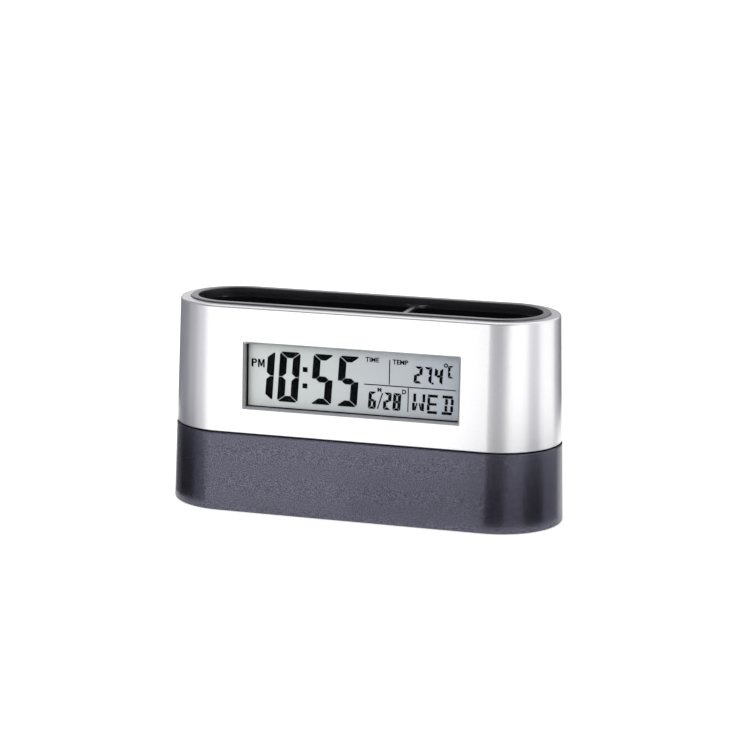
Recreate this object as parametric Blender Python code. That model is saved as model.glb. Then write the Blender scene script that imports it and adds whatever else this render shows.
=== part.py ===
"""Pen holder clock: a two-part stadium-shaped case with a divided pen tub, a display module behind the
front window, a row of setting keys at the back and a battery bay under the tub. Metres, +Z up, front at -Y,
origin on the desk under the middle of the case."""

import math

import bmesh
import bpy
from mathutils import Matrix, Vector

# Case outline. The walls lean in by the draft angle from the base's lower edge to the rim.
BASE_LENGTH = 0.1605
BASE_DEPTH = 0.0523
BODY_HEIGHT = 0.0820
BAND_HEIGHT = 0.0309
DRAFT = math.radians(1.79)
FOOT_PROUD = 0.0010
ARC_STEPS = 9
END_FLAT = 0.0004

# Clearances.
SEAT = 0.0003
SOLDER = 0.0001
RUNNING = 0.0003

# Upper casing. Its outline stands back from the base's by the sleeve step.
SLEEVE_STEP = 0.00024
CASING_WALL = 0.0024
RIM_WIDTH = 0.0039
RIM_ROUND = 0.0009
LEDGE_REACH = 0.0014
LEDGE_THICK = 0.0014
EDGE_BREAK = 0.0003
PARTING_GROOVE = 0.0005
BOSS_RADIUS = 0.0034
BOSS_HEIGHT = 0.0120

# Base shell.
BASE_WALL = 0.0025
FLOOR_THICK = 0.0025
SKIRT_DROP = 0.0006
LIP_HEIGHT = 0.0032
LIP_THICK = 0.0012
TOWER_RADIUS = 0.0042
TOWER_INSET = 0.00815
TOWER_ANGLE = math.radians(48.6)
TOWER_TOP_THICK = 0.0025

# Case screws.
SCREW_HEAD_RADIUS = 0.0024
SCREW_HEAD_THICK = 0.0018
SCREW_RADIUS = 0.0013
SCREW_LENGTH = 0.0110
SCREW_SLOT_WIDTH = 0.0007
SCREW_SLOT_DEPTH = 0.0008

# Inner tub.
COLLAR_WIDTH = 0.0028
COLLAR_PROUD = 0.0006
COLLAR_GAP = 0.00035
COLLAR_THICK = 0.0029
TUB_WALL = 0.0015
TUB_FLOOR_Z = 0.0240
TUB_FLOOR_THICK = 0.0020
POCKET_BEHIND_BOARD = 0.0028
POCKET_BACK_STEP = 0.0007
POCKET_END_STEP = 0.0086
POCKET_TAPER = 0.0006
SHOULDER_DROP = 0.0040
SHOULDER_HEIGHT = 0.0046
POCKET_FLOOR_ROUND = 0.0015
DIVIDER_X = 0.0155
DIVIDER_THICK = 0.0022
DIVIDER_DROP = 0.0028
DIVIDER_COVE = 0.0045

# Front window and display module. Depths are measured inwards from the outer face of the window.
WINDOW_WIDTH = 0.0885
WINDOW_HEIGHT = 0.0271
WINDOW_LOWERED = 0.0020
WINDOW_CHAMFER = 0.00085
LENS_THICK = 0.0010
LENS_MARGIN = 0.0016
GLASS_WIDTH = 0.0920
GLASS_HEIGHT = 0.0308
GLASS_THICK = 0.0022
FRAME_WALL = 0.0010
FRAME_LIP_THICK = 0.0009
REFLECTOR_THICK = 0.0004
ZEBRA_HEIGHT = 0.0018
ZEBRA_DEPTH = 0.0017
ZEBRA_LENGTH = 0.0840
BOARD_WIDTH = 0.1060
BOARD_HEIGHT = 0.0332
BOARD_THICK = 0.0012
POST_X = 0.0500
POST_Z = 0.0125
POST_RADIUS = 0.0022
BOARD_SCREW_RADIUS = 0.00085
BOARD_SCREW_LENGTH = 0.0050
BOARD_SCREW_HEAD_RADIUS = 0.0018
BOARD_SCREW_HEAD_THICK = 0.0010
CHIP_RADIUS = 0.0065
CHIP_THICK = 0.0012
CHIP_X = -0.0180
CRYSTAL_RADIUS = 0.0010
CRYSTAL_LENGTH = 0.0060
CRYSTAL_X = 0.0020
SENSOR_RADIUS = 0.0011
SENSOR_X = 0.0400

# Keys on the back of the base.
KEY_NAMES = ("mode", "set", "up", "down", "alarm")
KEY_PITCH = 0.0130
KEY_Z = 0.0150
KEY_LENGTH = 0.0090
KEY_HEIGHT = 0.0050
KEY_PROUD = 0.0004
KEY_TRAVEL = 0.0004
KEY_FLANGE_EDGE = 0.0012
KEY_FLANGE_THICK = 0.0008
KEY_STEM_RADIUS = 0.0018
SWITCH_SIZE = 0.0060
SWITCH_DEPTH = 0.0034
PLUNGER_RADIUS = 0.0016
PLUNGER_PROUD = 0.0008
PLUNGER_SUNK = 0.0016
KEY_BOARD_LENGTH = 0.0740
KEY_BOARD_HEIGHT = 0.0122
KEY_BOARD_THICK = 0.0012
KEY_BOARD_DEPTH = 0.0065
KEY_POST_X = 0.0345

# Battery bay.
CELL_RADIUS = 0.00525
CELL_LENGTH = 0.0445
NUB_RADIUS = 0.0019
NUB_LENGTH = 0.0010
CELL_SPACING = 0.0108
CELL_BOTTOM_Z = 0.0032
BAY_HALF_LENGTH = 0.0260
BAY_SIDE_GAP = 0.00035
BAY_WALL = 0.0015
BAY_CEILING_GAP = 0.0005
CONTACT_THICK = 0.0004
CONTACT_SIZE = 0.0094
CONTACT_TAB = 0.0030
CONTACT_TAB_RISE = 0.0012
SPRING_TURNS = 3
SPRING_POINTS_PER_TURN = 10
SPRING_WIRE_RADIUS = 0.00035
SPRING_FOOT_RADIUS = 0.0032
SPRING_TIP_RADIUS = 0.0022

# Battery door.
DOOR_LENGTH = 0.0560
DOOR_WIDTH = 0.0270
DOOR_THICK = 0.0015
DOOR_GAP = 0.0003
DOOR_TAB_X = 0.0160
DOOR_TAB_WIDTH = 0.0060
DOOR_TAB_REACH = 0.0019
DOOR_TAB_THICK = 0.0010
DOOR_LATCH_WIDTH = 0.0090
DOOR_LATCH_HEIGHT = 0.0022
DOOR_LATCH_THICK = 0.0010
DOOR_GRIP_COUNT = 4
DOOR_GRIP_PITCH = 0.0016

# Feet, sounder and tub supports.
FOOT_RADIUS = 0.0050
FOOT_THICK = 0.0018
FOOT_INSET = 0.00915
BUZZER_X = 0.0460
BUZZER_RADIUS = 0.0095
BUZZER_THICK = 0.0006
BUZZER_SEAT_HEIGHT = 0.0015
BUZZER_SEAT_WALL = 0.0012
SOUND_HOLE_RADIUS = 0.0009
SOUND_HOLE_CIRCLE = 0.0042
SOUND_HOLE_COUNT = 6
TUB_RIB_X = 0.0315
TUB_RIB_THICK = 0.0020
TUB_RIB_HALF_LENGTH = 0.0090

# Leads.
RIBBON_WIDTH = 0.0080
RIBBON_THICK = 0.0008
RIBBON_X = -0.0180
WIRE_RADIUS = 0.0006

BASE_BOTTOM = FOOT_PROUD
PARTING_Z = BASE_BOTTOM + BAND_HEIGHT
CASING_FOOT = PARTING_Z + PARTING_GROOVE
RIM_TOP = BASE_BOTTOM + BODY_HEIGHT
FLOOR_TOP = BASE_BOTTOM + FLOOR_THICK
LIP_TOP = PARTING_Z + PARTING_GROOVE + LIP_HEIGHT
SKIRT_FOOT = BASE_BOTTOM - SKIRT_DROP
COLLAR_TOP = RIM_TOP + COLLAR_PROUD
SHOULDER_TOP = COLLAR_TOP - SHOULDER_DROP
SHOULDER_FOOT = SHOULDER_TOP - SHOULDER_HEIGHT
WINDOW_CENTRE_Z = (CASING_FOOT + RIM_TOP) / 2 - WINDOW_LOWERED
DIVIDER_TOP = COLLAR_TOP - DIVIDER_DROP
LEDGE_TOP = COLLAR_TOP - COLLAR_THICK - SEAT
BAY_HALF_WIDTH = CELL_SPACING / 2 + CELL_RADIUS + BAY_SIDE_GAP
CELL_Z = CELL_BOTTOM_Z + CELL_RADIUS
BAY_CEILING = CELL_Z + CELL_RADIUS + BAY_CEILING_GAP
BAY_TOP = BAY_CEILING + BAY_WALL

LENS_FACE = CASING_WALL + SEAT
FRAME_FACE = LENS_FACE + LENS_THICK + SEAT
GLASS_FACE = FRAME_FACE + FRAME_LIP_THICK + SEAT
GLASS_BACK = GLASS_FACE + GLASS_THICK
BOARD_FACE = GLASS_BACK + SEAT + ZEBRA_DEPTH + SEAT
BOARD_BACK = BOARD_FACE + BOARD_THICK
VIEW_WIDTH = WINDOW_WIDTH - 2 * WINDOW_CHAMFER
VIEW_HEIGHT = WINDOW_HEIGHT - 2 * WINDOW_CHAMFER


def lean(z):
    """How far the draft has brought the case's outline in at height z."""
    return (z - BASE_BOTTOM) * math.tan(DRAFT)


def case_half_depth(z):
    return BASE_DEPTH / 2 - lean(z)


def sleeve_half_depth(z):
    return case_half_depth(z) - SLEEVE_STEP


# Places that follow from the outline.
OPENING_INSET = SLEEVE_STEP + RIM_WIDTH + COLLAR_GAP + COLLAR_WIDTH + lean(RIM_TOP)
POCKET_FRONT = sleeve_half_depth(WINDOW_CENTRE_Z) - BOARD_BACK - POCKET_BEHIND_BOARD - TUB_WALL
POCKET_BACK = BASE_DEPTH / 2 - OPENING_INSET - POCKET_BACK_STEP
POCKET_HALF_LENGTH = BASE_LENGTH / 2 - OPENING_INSET - POCKET_END_STEP
KEY_BOARD_FACE_Y = case_half_depth(KEY_Z) - BASE_WALL - KEY_BOARD_DEPTH
END_CENTRE_X = BASE_LENGTH / 2 - BASE_DEPTH / 2


# Shapes.


def clear_scene():
    for old in list(bpy.data.objects):
        bpy.data.objects.remove(old)


def material(name, colour, roughness, metallic=0.0, alpha=1.0):
    made = bpy.data.materials.new(name)
    made.use_nodes = True
    shader = made.node_tree.nodes["Principled BSDF"]
    shader.inputs["Base Color"].default_value = (*colour, 1.0)
    shader.inputs["Roughness"].default_value = roughness
    shader.inputs["Metallic"].default_value = metallic
    shader.inputs["Alpha"].default_value = alpha
    return made


def place(name, mesh, finish, at=(0, 0, 0), turn=(0, 0, 0), parent=None):
    """A named object for a mesh, shaded smooth up to its real edges."""
    obj = bpy.data.objects.new(name, mesh)
    bpy.context.scene.collection.objects.link(obj)
    obj.location = at
    obj.rotation_euler = turn
    obj.parent = parent
    if finish is not None:
        mesh.materials.append(finish)
        mesh.shade_smooth()
        mesh.set_sharp_from_angle(angle=math.radians(30))
    return obj


def empty(name, at, turn=(0, 0, 0)):
    frame = bpy.data.objects.new(name, None)
    bpy.context.scene.collection.objects.link(frame)
    frame.location = at
    frame.rotation_euler = turn
    return frame


def mesh_of(bm):
    bmesh.ops.recalc_face_normals(bm, faces=bm.faces)
    mesh = bpy.data.meshes.new("shape")
    bm.to_mesh(mesh)
    bm.free()
    return mesh


def add_box(bm, low, high, edge=0.0):
    """A box between two corners, its edges bevelled by edge."""
    low = Vector(low)
    high = Vector(high)
    made = bmesh.ops.create_cube(bm, size=1.0)["verts"]
    size = high - low
    bmesh.ops.scale(bm, vec=size, verts=made)
    bmesh.ops.translate(bm, vec=(low + high) / 2, verts=made)
    if edge:
        edges = {e for v in made for e in v.link_edges}
        bmesh.ops.bevel(bm, geom=list(edges), offset=edge, segments=1, affect="EDGES")


def add_cylinder(bm, radius, start, end, segments=20, tip_radius=None):
    """A cylinder or cone along a main axis from start to end."""
    start = Vector(start)
    end = Vector(end)
    along = end - start
    turn = along.to_track_quat("Z", "Y").to_matrix().to_4x4()
    bmesh.ops.create_cone(
        bm,
        cap_ends=True,
        segments=segments,
        radius1=radius,
        radius2=radius if tip_radius is None else tip_radius,
        depth=along.length,
        matrix=Matrix.Translation((start + end) / 2) @ turn,
    )


def add_loft(bm, rings, closed=False):
    """Joins rings of points by quads. Open ends are capped; closed=True joins the last ring to the first."""
    made = [[bm.verts.new(point) for point in ring] for ring in rings]
    pairs = list(zip(made, made[1:]))
    if closed:
        pairs.append((made[-1], made[0]))
    for lower, upper in pairs:
        count = len(lower)
        for i in range(count):
            after = (i + 1) % count
            bm.faces.new((lower[i], lower[after], upper[after], upper[i]))
    if not closed:
        bm.faces.new(made[0])
        bm.faces.new(made[-1])


def corner_arc(x, y, radius, start_degrees):
    steps = [start_degrees + 90 * i / ARC_STEPS for i in range(ARC_STEPS + 1)]
    return [
        (x + radius * math.cos(math.radians(a)), y + radius * math.sin(math.radians(a)))
        for a in steps
    ]


def plan_ring(x_low, x_high, y_low, y_high, radius_low, radius_high, z):
    """A rounded rectangle seen from above. radius_low rounds its two corners at x_low."""
    points = corner_arc(x_high - radius_high, y_low + radius_high, radius_high, -90)
    points += corner_arc(x_high - radius_high, y_high - radius_high, radius_high, 0)
    points += corner_arc(x_low + radius_low, y_high - radius_low, radius_low, 90)
    points += corner_arc(x_low + radius_low, y_low + radius_low, radius_low, 180)
    return [Vector((x, y, z)) for x, y in points]


def case_ring(inset, z):
    """The case's stadium outline at height z, moved in by inset."""
    half_length = BASE_LENGTH / 2 - lean(z) - inset
    half_depth = case_half_depth(z) - inset
    radius = half_depth - END_FLAT / 2
    return plan_ring(-half_length, half_length, -half_depth, half_depth, radius, radius, z)


def sleeve_ring(inset, z):
    """The upper casing's outline at height z, moved in by inset."""
    return case_ring(SLEEVE_STEP + inset, z)


def pill_ring(half_length, half_height, y, x_centre, z_centre, steps=6):
    """A pill outline standing in the XZ plane at depth y."""
    run = half_length - half_height
    points = []
    for side, start in ((1, -90), (-1, 90)):
        for i in range(steps + 1):
            angle = math.radians(start + 180 * i / steps)
            x = x_centre + side * run + half_height * math.cos(angle)
            points.append(Vector((x, y, z_centre + half_height * math.sin(angle))))
    return points


def smooth_route(points, per_span=4):
    """Points along a Catmull-Rom curve through the given points."""
    knots = [Vector(p) for p in points]
    padded = [2 * knots[0] - knots[1], *knots, 2 * knots[-1] - knots[-2]]
    route = []
    for i in range(1, len(padded) - 2):
        a, b, c, d = padded[i - 1 : i + 3]
        for step in range(per_span):
            t = step / per_span
            route.append(
                0.5
                * (
                    2 * b
                    + (c - a) * t
                    + (2 * a - 5 * b + 4 * c - d) * t**2
                    + (3 * b - a - 3 * c + d) * t**3
                )
            )
    route.append(knots[-1])
    return route


def tube(name, route, radius, finish, resolution):
    """A round wire along a list of points, with closed ends."""
    curve = bpy.data.curves.new(name, "CURVE")
    curve.dimensions = "3D"
    curve.bevel_depth = radius
    curve.bevel_resolution = resolution
    curve.use_fill_caps = True
    spline = curve.splines.new("POLY")
    spline.points.add(len(route) - 1)
    for point, target in zip(spline.points, route):
        point.co = (*target, 1.0)
    curve.materials.append(finish)
    obj = bpy.data.objects.new(name, curve)
    bpy.context.scene.collection.objects.link(obj)
    return obj


def least_gap(route, radius, apart):
    """The least gap of a wound wire to itself, between points more than apart steps from each other."""
    pairs = ((i, j) for i in range(len(route)) for j in range(i + apart + 1, len(route)))
    return min((route[i] - route[j]).length for i, j in pairs) - 2 * radius


def combine(body, bm, name, operation, at=(0, 0, 0), turn=(0, 0, 0)):
    """Joins or cuts the body with the shapes in bm, which stay in the file as a hidden helper."""
    tool = place(name, mesh_of(bm), None, at=at, turn=turn)
    tool.hide_render = True
    tool.display_type = "WIRE"
    modifier = body.modifiers.new(name, "BOOLEAN")
    modifier.operation = operation
    modifier.solver = "EXACT"
    modifier.object = tool
    return tool


def tower_places():
    reach = BASE_DEPTH / 2 - TOWER_INSET
    x = END_CENTRE_X + reach * math.cos(TOWER_ANGLE)
    y = reach * math.sin(TOWER_ANGLE)
    return [(side_x * x, side_y * y) for side_x in (-1, 1) for side_y in (-1, 1)]


def foot_places():
    y = BASE_DEPTH / 2 - FOOT_INSET
    return [(side_x * END_CENTRE_X, side_y * y) for side_x in (-1, 1) for side_y in (-1, 1)]


def key_places():
    middle = (len(KEY_NAMES) - 1) / 2
    return [(name, (middle - i) * KEY_PITCH) for i, name in enumerate(KEY_NAMES)]


def post_places():
    return [(x, z) for x in (-POST_X, POST_X) for z in (-POST_Z, POST_Z)]


def window_frame():
    """Where the outer face of the window is, and its lean, for pieces placed by depth behind it."""
    return (0, -sleeve_half_depth(WINDOW_CENTRE_Z), WINDOW_CENTRE_Z), (-DRAFT, 0, 0)


# Upper casing: a silver-painted sleeve with an inward rim, a ledge that carries the tub, four screw bosses
# and four posts for the clock board.


def upper_casing(finish):
    ledge_edge = RIM_WIDTH + LEDGE_REACH
    profile = [(EDGE_BREAK, CASING_FOOT), (0.0, CASING_FOOT + EDGE_BREAK)]
    for degrees in (0, 30, 60, 90):
        angle = math.radians(degrees)
        profile.append((RIM_ROUND * (1 - math.cos(angle)), RIM_TOP - RIM_ROUND * (1 - math.sin(angle))))
    profile += [
        (RIM_WIDTH - EDGE_BREAK, RIM_TOP),
        (RIM_WIDTH, RIM_TOP - EDGE_BREAK),
        (RIM_WIDTH, LEDGE_TOP),
        (ledge_edge, LEDGE_TOP),
        (ledge_edge, LEDGE_TOP - LEDGE_THICK),
        (CASING_WALL, LEDGE_TOP - LEDGE_THICK),
        (CASING_WALL, CASING_FOOT),
    ]
    bm = bmesh.new()
    add_loft(bm, [sleeve_ring(inset, z) for inset, z in profile], closed=True)
    body = place("upper_casing", mesh_of(bm), finish)

    boss_foot = LIP_TOP + 2 * SEAT
    bosses = bmesh.new()
    for x, y in tower_places():
        add_cylinder(bosses, BOSS_RADIUS, (x, y, boss_foot), (x, y, boss_foot + BOSS_HEIGHT))
    combine(body, bosses, "casing_bosses", "UNION")

    ribs = bmesh.new()
    for x, y in tower_places():
        outward = Vector((x - math.copysign(END_CENTRE_X, x), y, 0)).normalized()
        middle = Vector((x, y, boss_foot + BOSS_HEIGHT / 2)) + outward * BOSS_RADIUS
        rib = bmesh.ops.create_cube(ribs, size=1.0)["verts"]
        size = (2 * CASING_WALL, CASING_WALL / 2, BOSS_HEIGHT - 2 * EDGE_BREAK)
        bmesh.ops.scale(ribs, vec=size, verts=rib)
        turn = Matrix.Rotation(math.atan2(outward.y, outward.x), 4, "Z")
        bmesh.ops.transform(ribs, matrix=Matrix.Translation(middle) @ turn, verts=rib)
    combine(body, ribs, "casing_boss_ribs", "UNION")

    at, turn = window_frame()
    posts = bmesh.new()
    for x, z in post_places():
        add_cylinder(posts, POST_RADIUS, (x, CASING_WALL / 2, z), (x, BOARD_FACE - SEAT, z), 16)
    combine(body, posts, "casing_posts", "UNION", at, turn)

    window = bmesh.new()
    outside = 2 * WINDOW_CHAMFER
    rings = []
    inside = (CASING_WALL * 2, -WINDOW_CHAMFER)
    for depth, grow in ((-outside, outside), (0.0, 0.0), (WINDOW_CHAMFER, -WINDOW_CHAMFER), inside):
        half_width = WINDOW_WIDTH / 2 + grow
        half_height = WINDOW_HEIGHT / 2 + grow
        corners = ((-1, -1), (1, -1), (1, 1), (-1, 1))
        rings.append([Vector((sx * half_width, depth, sz * half_height)) for sx, sz in corners])
    add_loft(window, rings)
    combine(body, window, "window_cut", "DIFFERENCE", at, turn)

    pilots = bmesh.new()
    for x, z in post_places():
        pilot = BOARD_SCREW_RADIUS + RUNNING / 2
        add_cylinder(pilots, pilot, (x, CASING_WALL + RUNNING, z), (x, BOARD_FACE, z), 12)
    combine(body, pilots, "post_pilots", "DIFFERENCE", at, turn)

    holes = bmesh.new()
    pilot_top = boss_foot + BOSS_HEIGHT - CASING_WALL
    for x, y in tower_places():
        add_cylinder(holes, SCREW_RADIUS + RUNNING / 2, (x, y, boss_foot - SEAT), (x, y, pilot_top), 16)
    combine(body, holes, "boss_pilots", "DIFFERENCE")
    return body


# Base shell: a textured dark cup that carries the towers, the battery bay and the key board posts.


def base_shell(finish):
    lip_outer = SLEEVE_STEP + CASING_WALL + RUNNING
    lip_inner = lip_outer + LIP_THICK
    lip_root = PARTING_Z - LIP_THICK
    profile = [
        (BASE_WALL, BASE_BOTTOM),
        (BASE_WALL, SKIRT_FOOT),
        (EDGE_BREAK * 2, SKIRT_FOOT),
        (0.0, SKIRT_FOOT + EDGE_BREAK * 2),
        (0.0, PARTING_Z - EDGE_BREAK),
        (EDGE_BREAK, PARTING_Z),
        (lip_outer, PARTING_Z),
        (lip_outer, LIP_TOP - EDGE_BREAK),
        (lip_outer + EDGE_BREAK, LIP_TOP),
        (lip_inner, LIP_TOP),
        (lip_inner, lip_root),
        (BASE_WALL, lip_root - (lip_inner - BASE_WALL)),
        (BASE_WALL, FLOOR_TOP),
    ]
    bm = bmesh.new()
    add_loft(bm, [case_ring(inset, z) for inset, z in profile])
    body = place("base_shell", mesh_of(bm), finish)

    tower_top = LIP_TOP + SEAT
    inside = bmesh.new()
    for x, y in tower_places():
        add_cylinder(inside, TOWER_RADIUS, (x, y, BASE_BOTTOM + SEAT), (x, y, tower_top))
    for side in (-1, 1):
        x = side * TUB_RIB_X
        middle_y = (POCKET_BACK - POCKET_FRONT) / 2
        add_box(
            inside,
            (x - TUB_RIB_THICK / 2, middle_y - TUB_RIB_HALF_LENGTH, BASE_BOTTOM + SEAT),
            (x + TUB_RIB_THICK / 2, middle_y + TUB_RIB_HALF_LENGTH, TUB_FLOOR_Z - TUB_FLOOR_THICK - SEAT),
        )
    bay_x = BAY_HALF_LENGTH + BAY_WALL
    bay_y = BAY_HALF_WIDTH + BAY_WALL
    add_box(inside, (-bay_x, -bay_y, BASE_BOTTOM + SEAT), (bay_x, bay_y, BAY_TOP))
    add_cylinder(
        inside,
        BUZZER_RADIUS + SEAT,
        (BUZZER_X, 0, BASE_BOTTOM + SEAT),
        (BUZZER_X, 0, FLOOR_TOP + BUZZER_SEAT_HEIGHT),
        24,
    )
    combine(body, inside, "base_inner_walls", "UNION")

    posts = bmesh.new()
    wall_inner = case_half_depth(KEY_Z) - BASE_WALL
    for side in (-1, 1):
        x = side * KEY_POST_X
        post_root = (x, wall_inner + BASE_WALL / 2, KEY_Z)
        add_cylinder(posts, POST_RADIUS, post_root, (x, KEY_BOARD_FACE_Y + SEAT, KEY_Z), 16)
    combine(body, posts, "key_board_posts", "UNION")

    cuts = bmesh.new()
    for x, y in tower_places():
        well = SCREW_HEAD_RADIUS + RUNNING
        add_cylinder(cuts, well, (x, y, 0), (x, y, tower_top - TOWER_TOP_THICK))
    for x, y in foot_places():
        add_cylinder(cuts, FOOT_RADIUS + SEAT / 2, (x, y, 0), (x, y, FOOT_THICK + SEAT / 2), 24)
    add_cylinder(
        cuts,
        BUZZER_RADIUS + SEAT - BUZZER_SEAT_WALL,
        (BUZZER_X, 0, FLOOR_TOP),
        (BUZZER_X, 0, FLOOR_TOP + 2 * BUZZER_SEAT_HEIGHT),
        24,
    )
    for side in (-1, 1):
        x = side * KEY_POST_X
        add_cylinder(
            cuts,
            BOARD_SCREW_RADIUS + RUNNING / 2,
            (x, KEY_BOARD_FACE_Y, KEY_Z),
            (x, KEY_BOARD_FACE_Y + BOARD_SCREW_LENGTH, KEY_Z),
            12,
        )
    door_x = DOOR_LENGTH / 2 + DOOR_GAP
    door_y = DOOR_WIDTH / 2 + DOOR_GAP
    add_box(cuts, (-door_x, -door_y, 0), (door_x, door_y, BASE_BOTTOM + DOOR_THICK + DOOR_GAP))
    combine(body, cuts, "base_wells", "DIFFERENCE")

    through = bmesh.new()
    hole_foot = tower_top - 2 * TOWER_TOP_THICK
    for x, y in tower_places():
        add_cylinder(through, SCREW_RADIUS + RUNNING, (x, y, hole_foot), (x, y, tower_top + SEAT), 16)
    for _, x in key_places():
        half_length = KEY_LENGTH / 2 + RUNNING
        half_height = KEY_HEIGHT / 2 + RUNNING
        wall = case_half_depth(KEY_Z)
        depths = (wall - 2 * BASE_WALL, wall + BASE_WALL)
        add_loft(through, [pill_ring(half_length, half_height, y, x, KEY_Z) for y in depths])
    for i in range(SOUND_HOLE_COUNT):
        angle = 2 * math.pi * i / SOUND_HOLE_COUNT
        x = BUZZER_X + SOUND_HOLE_CIRCLE * math.cos(angle)
        y = SOUND_HOLE_CIRCLE * math.sin(angle)
        add_cylinder(through, SOUND_HOLE_RADIUS, (x, y, 0), (x, y, FLOOR_TOP + BUZZER_SEAT_HEIGHT), 10)
    bay_low = (-BAY_HALF_LENGTH, -BAY_HALF_WIDTH, BASE_BOTTOM)
    add_box(through, bay_low, (BAY_HALF_LENGTH, BAY_HALF_WIDTH, BAY_CEILING))
    combine(body, through, "base_openings", "DIFFERENCE")

    slots = bmesh.new()
    throats = bmesh.new()
    hinge_y = -DOOR_WIDTH / 2
    for side in (-1, 1):
        x = side * DOOR_TAB_X
        half = DOOR_TAB_WIDTH / 2 + RUNNING
        add_box(
            slots,
            (x - half, hinge_y - DOOR_TAB_REACH - RUNNING * 2, FLOOR_TOP),
            (x + half, -BAY_HALF_WIDTH + BAY_WALL, FLOOR_TOP + 3 * DOOR_TAB_THICK),
        )
        add_box(
            throats,
            (x - half, hinge_y - DOOR_GAP, BASE_BOTTOM + DOOR_THICK),
            (x + half, -BAY_HALF_WIDTH + BAY_WALL, FLOOR_TOP + DOOR_TAB_THICK),
        )
    latch_half = DOOR_LATCH_WIDTH / 2 + RUNNING
    latch_y = DOOR_WIDTH / 2 + DOOR_GAP
    add_box(
        slots,
        (-latch_half, BAY_HALF_WIDTH - BAY_WALL, BASE_BOTTOM + DOOR_THICK),
        (latch_half, latch_y, FLOOR_TOP + DOOR_LATCH_HEIGHT),
    )
    tab_x = BAY_HALF_LENGTH - SEAT - CONTACT_THICK / 2
    for side in (-1, 1):
        y = side * CELL_SPACING / 2
        half = CONTACT_TAB / 2 + RUNNING
        add_box(
            slots,
            (tab_x - CONTACT_THICK / 2 - RUNNING, y - half, BAY_CEILING - BAY_WALL),
            (tab_x + CONTACT_THICK / 2 + RUNNING, y + half, BAY_TOP + BAY_WALL),
        )
    combine(body, slots, "base_slots", "DIFFERENCE")
    combine(body, throats, "door_tab_throats", "DIFFERENCE")
    return body


# Inner tub: two pockets with a moulded divider, lowered through the mouth until its collar sits on the ledge.


def pocket_rings(x_low, x_high, round_low, round_high, grow, levels):
    """Rings of one pocket, wide at the shoulder's top and narrow below it. round_low and round_high say
    which ends follow the case's round end; a divider end keeps its own cove. grow moves every wall out."""
    rings = []
    for z, share, inset in levels:
        front = -(POCKET_FRONT + share * (BASE_DEPTH / 2 - OPENING_INSET - POCKET_FRONT)) - grow + inset
        back = POCKET_BACK + share * POCKET_BACK_STEP + grow - inset
        end = POCKET_HALF_LENGTH + share * POCKET_END_STEP + grow - inset
        low = -end if round_low else x_low + inset
        high = end if round_high else x_high - inset
        end_radius = (back - front) / 2 - END_FLAT / 2
        radius_low = end_radius if round_low else DIVIDER_COVE
        radius_high = end_radius if round_high else DIVIDER_COVE
        rings.append(plan_ring(low, high, front, back, radius_low, radius_high, z))
    return rings


def inner_tub(finish):
    collar_outer = RIM_WIDTH + COLLAR_GAP
    collar_foot = COLLAR_TOP - COLLAR_THICK
    neck_inset = RIM_WIDTH + LEDGE_REACH + SEAT
    underside = TUB_FLOOR_Z - TUB_FLOOR_THICK
    skin = pocket_rings(
        0,
        0,
        True,
        True,
        TUB_WALL,
        [
            (underside, 0, POCKET_TAPER + POCKET_FLOOR_ROUND),
            (underside + POCKET_FLOOR_ROUND, 0, POCKET_TAPER),
            (SHOULDER_FOOT - TUB_WALL / 2, 0, 0),
        ],
    )
    skin += [
        sleeve_ring(neck_inset, SHOULDER_TOP - TUB_WALL),
        sleeve_ring(neck_inset, collar_foot),
        sleeve_ring(collar_outer, collar_foot),
        sleeve_ring(collar_outer, COLLAR_TOP - EDGE_BREAK),
        sleeve_ring(collar_outer + EDGE_BREAK, COLLAR_TOP),
    ]
    bm = bmesh.new()
    add_loft(bm, skin)
    body = place("inner_tub", mesh_of(bm), finish)

    mouth = bmesh.new()
    above = COLLAR_TOP + SEAT
    mouth_levels = [(DIVIDER_TOP, 1, 0), (COLLAR_TOP - EDGE_BREAK, 1, 0), (above, 1, -2 * EDGE_BREAK)]
    add_loft(mouth, pocket_rings(0, 0, True, True, 0.0, mouth_levels))
    combine(body, mouth, "tub_mouth", "DIFFERENCE")

    left_wall = DIVIDER_X - DIVIDER_THICK / 2
    right_wall = DIVIDER_X + DIVIDER_THICK / 2
    levels = [
        (TUB_FLOOR_Z, 0, POCKET_TAPER + POCKET_FLOOR_ROUND),
        (TUB_FLOOR_Z + POCKET_FLOOR_ROUND, 0, POCKET_TAPER),
        (SHOULDER_FOOT, 0, 0),
        (SHOULDER_TOP, 1, 0),
        (DIVIDER_TOP + SEAT, 1, 0),
    ]
    pockets = bmesh.new()
    add_loft(pockets, pocket_rings(0, left_wall, True, False, 0.0, levels))
    add_loft(pockets, pocket_rings(right_wall, 0, False, True, 0.0, levels))
    combine(body, pockets, "tub_pockets", "DIFFERENCE")
    return body


# Display module: lens, holder, display glass, reflector, rubber connectors and the clock board.


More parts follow.
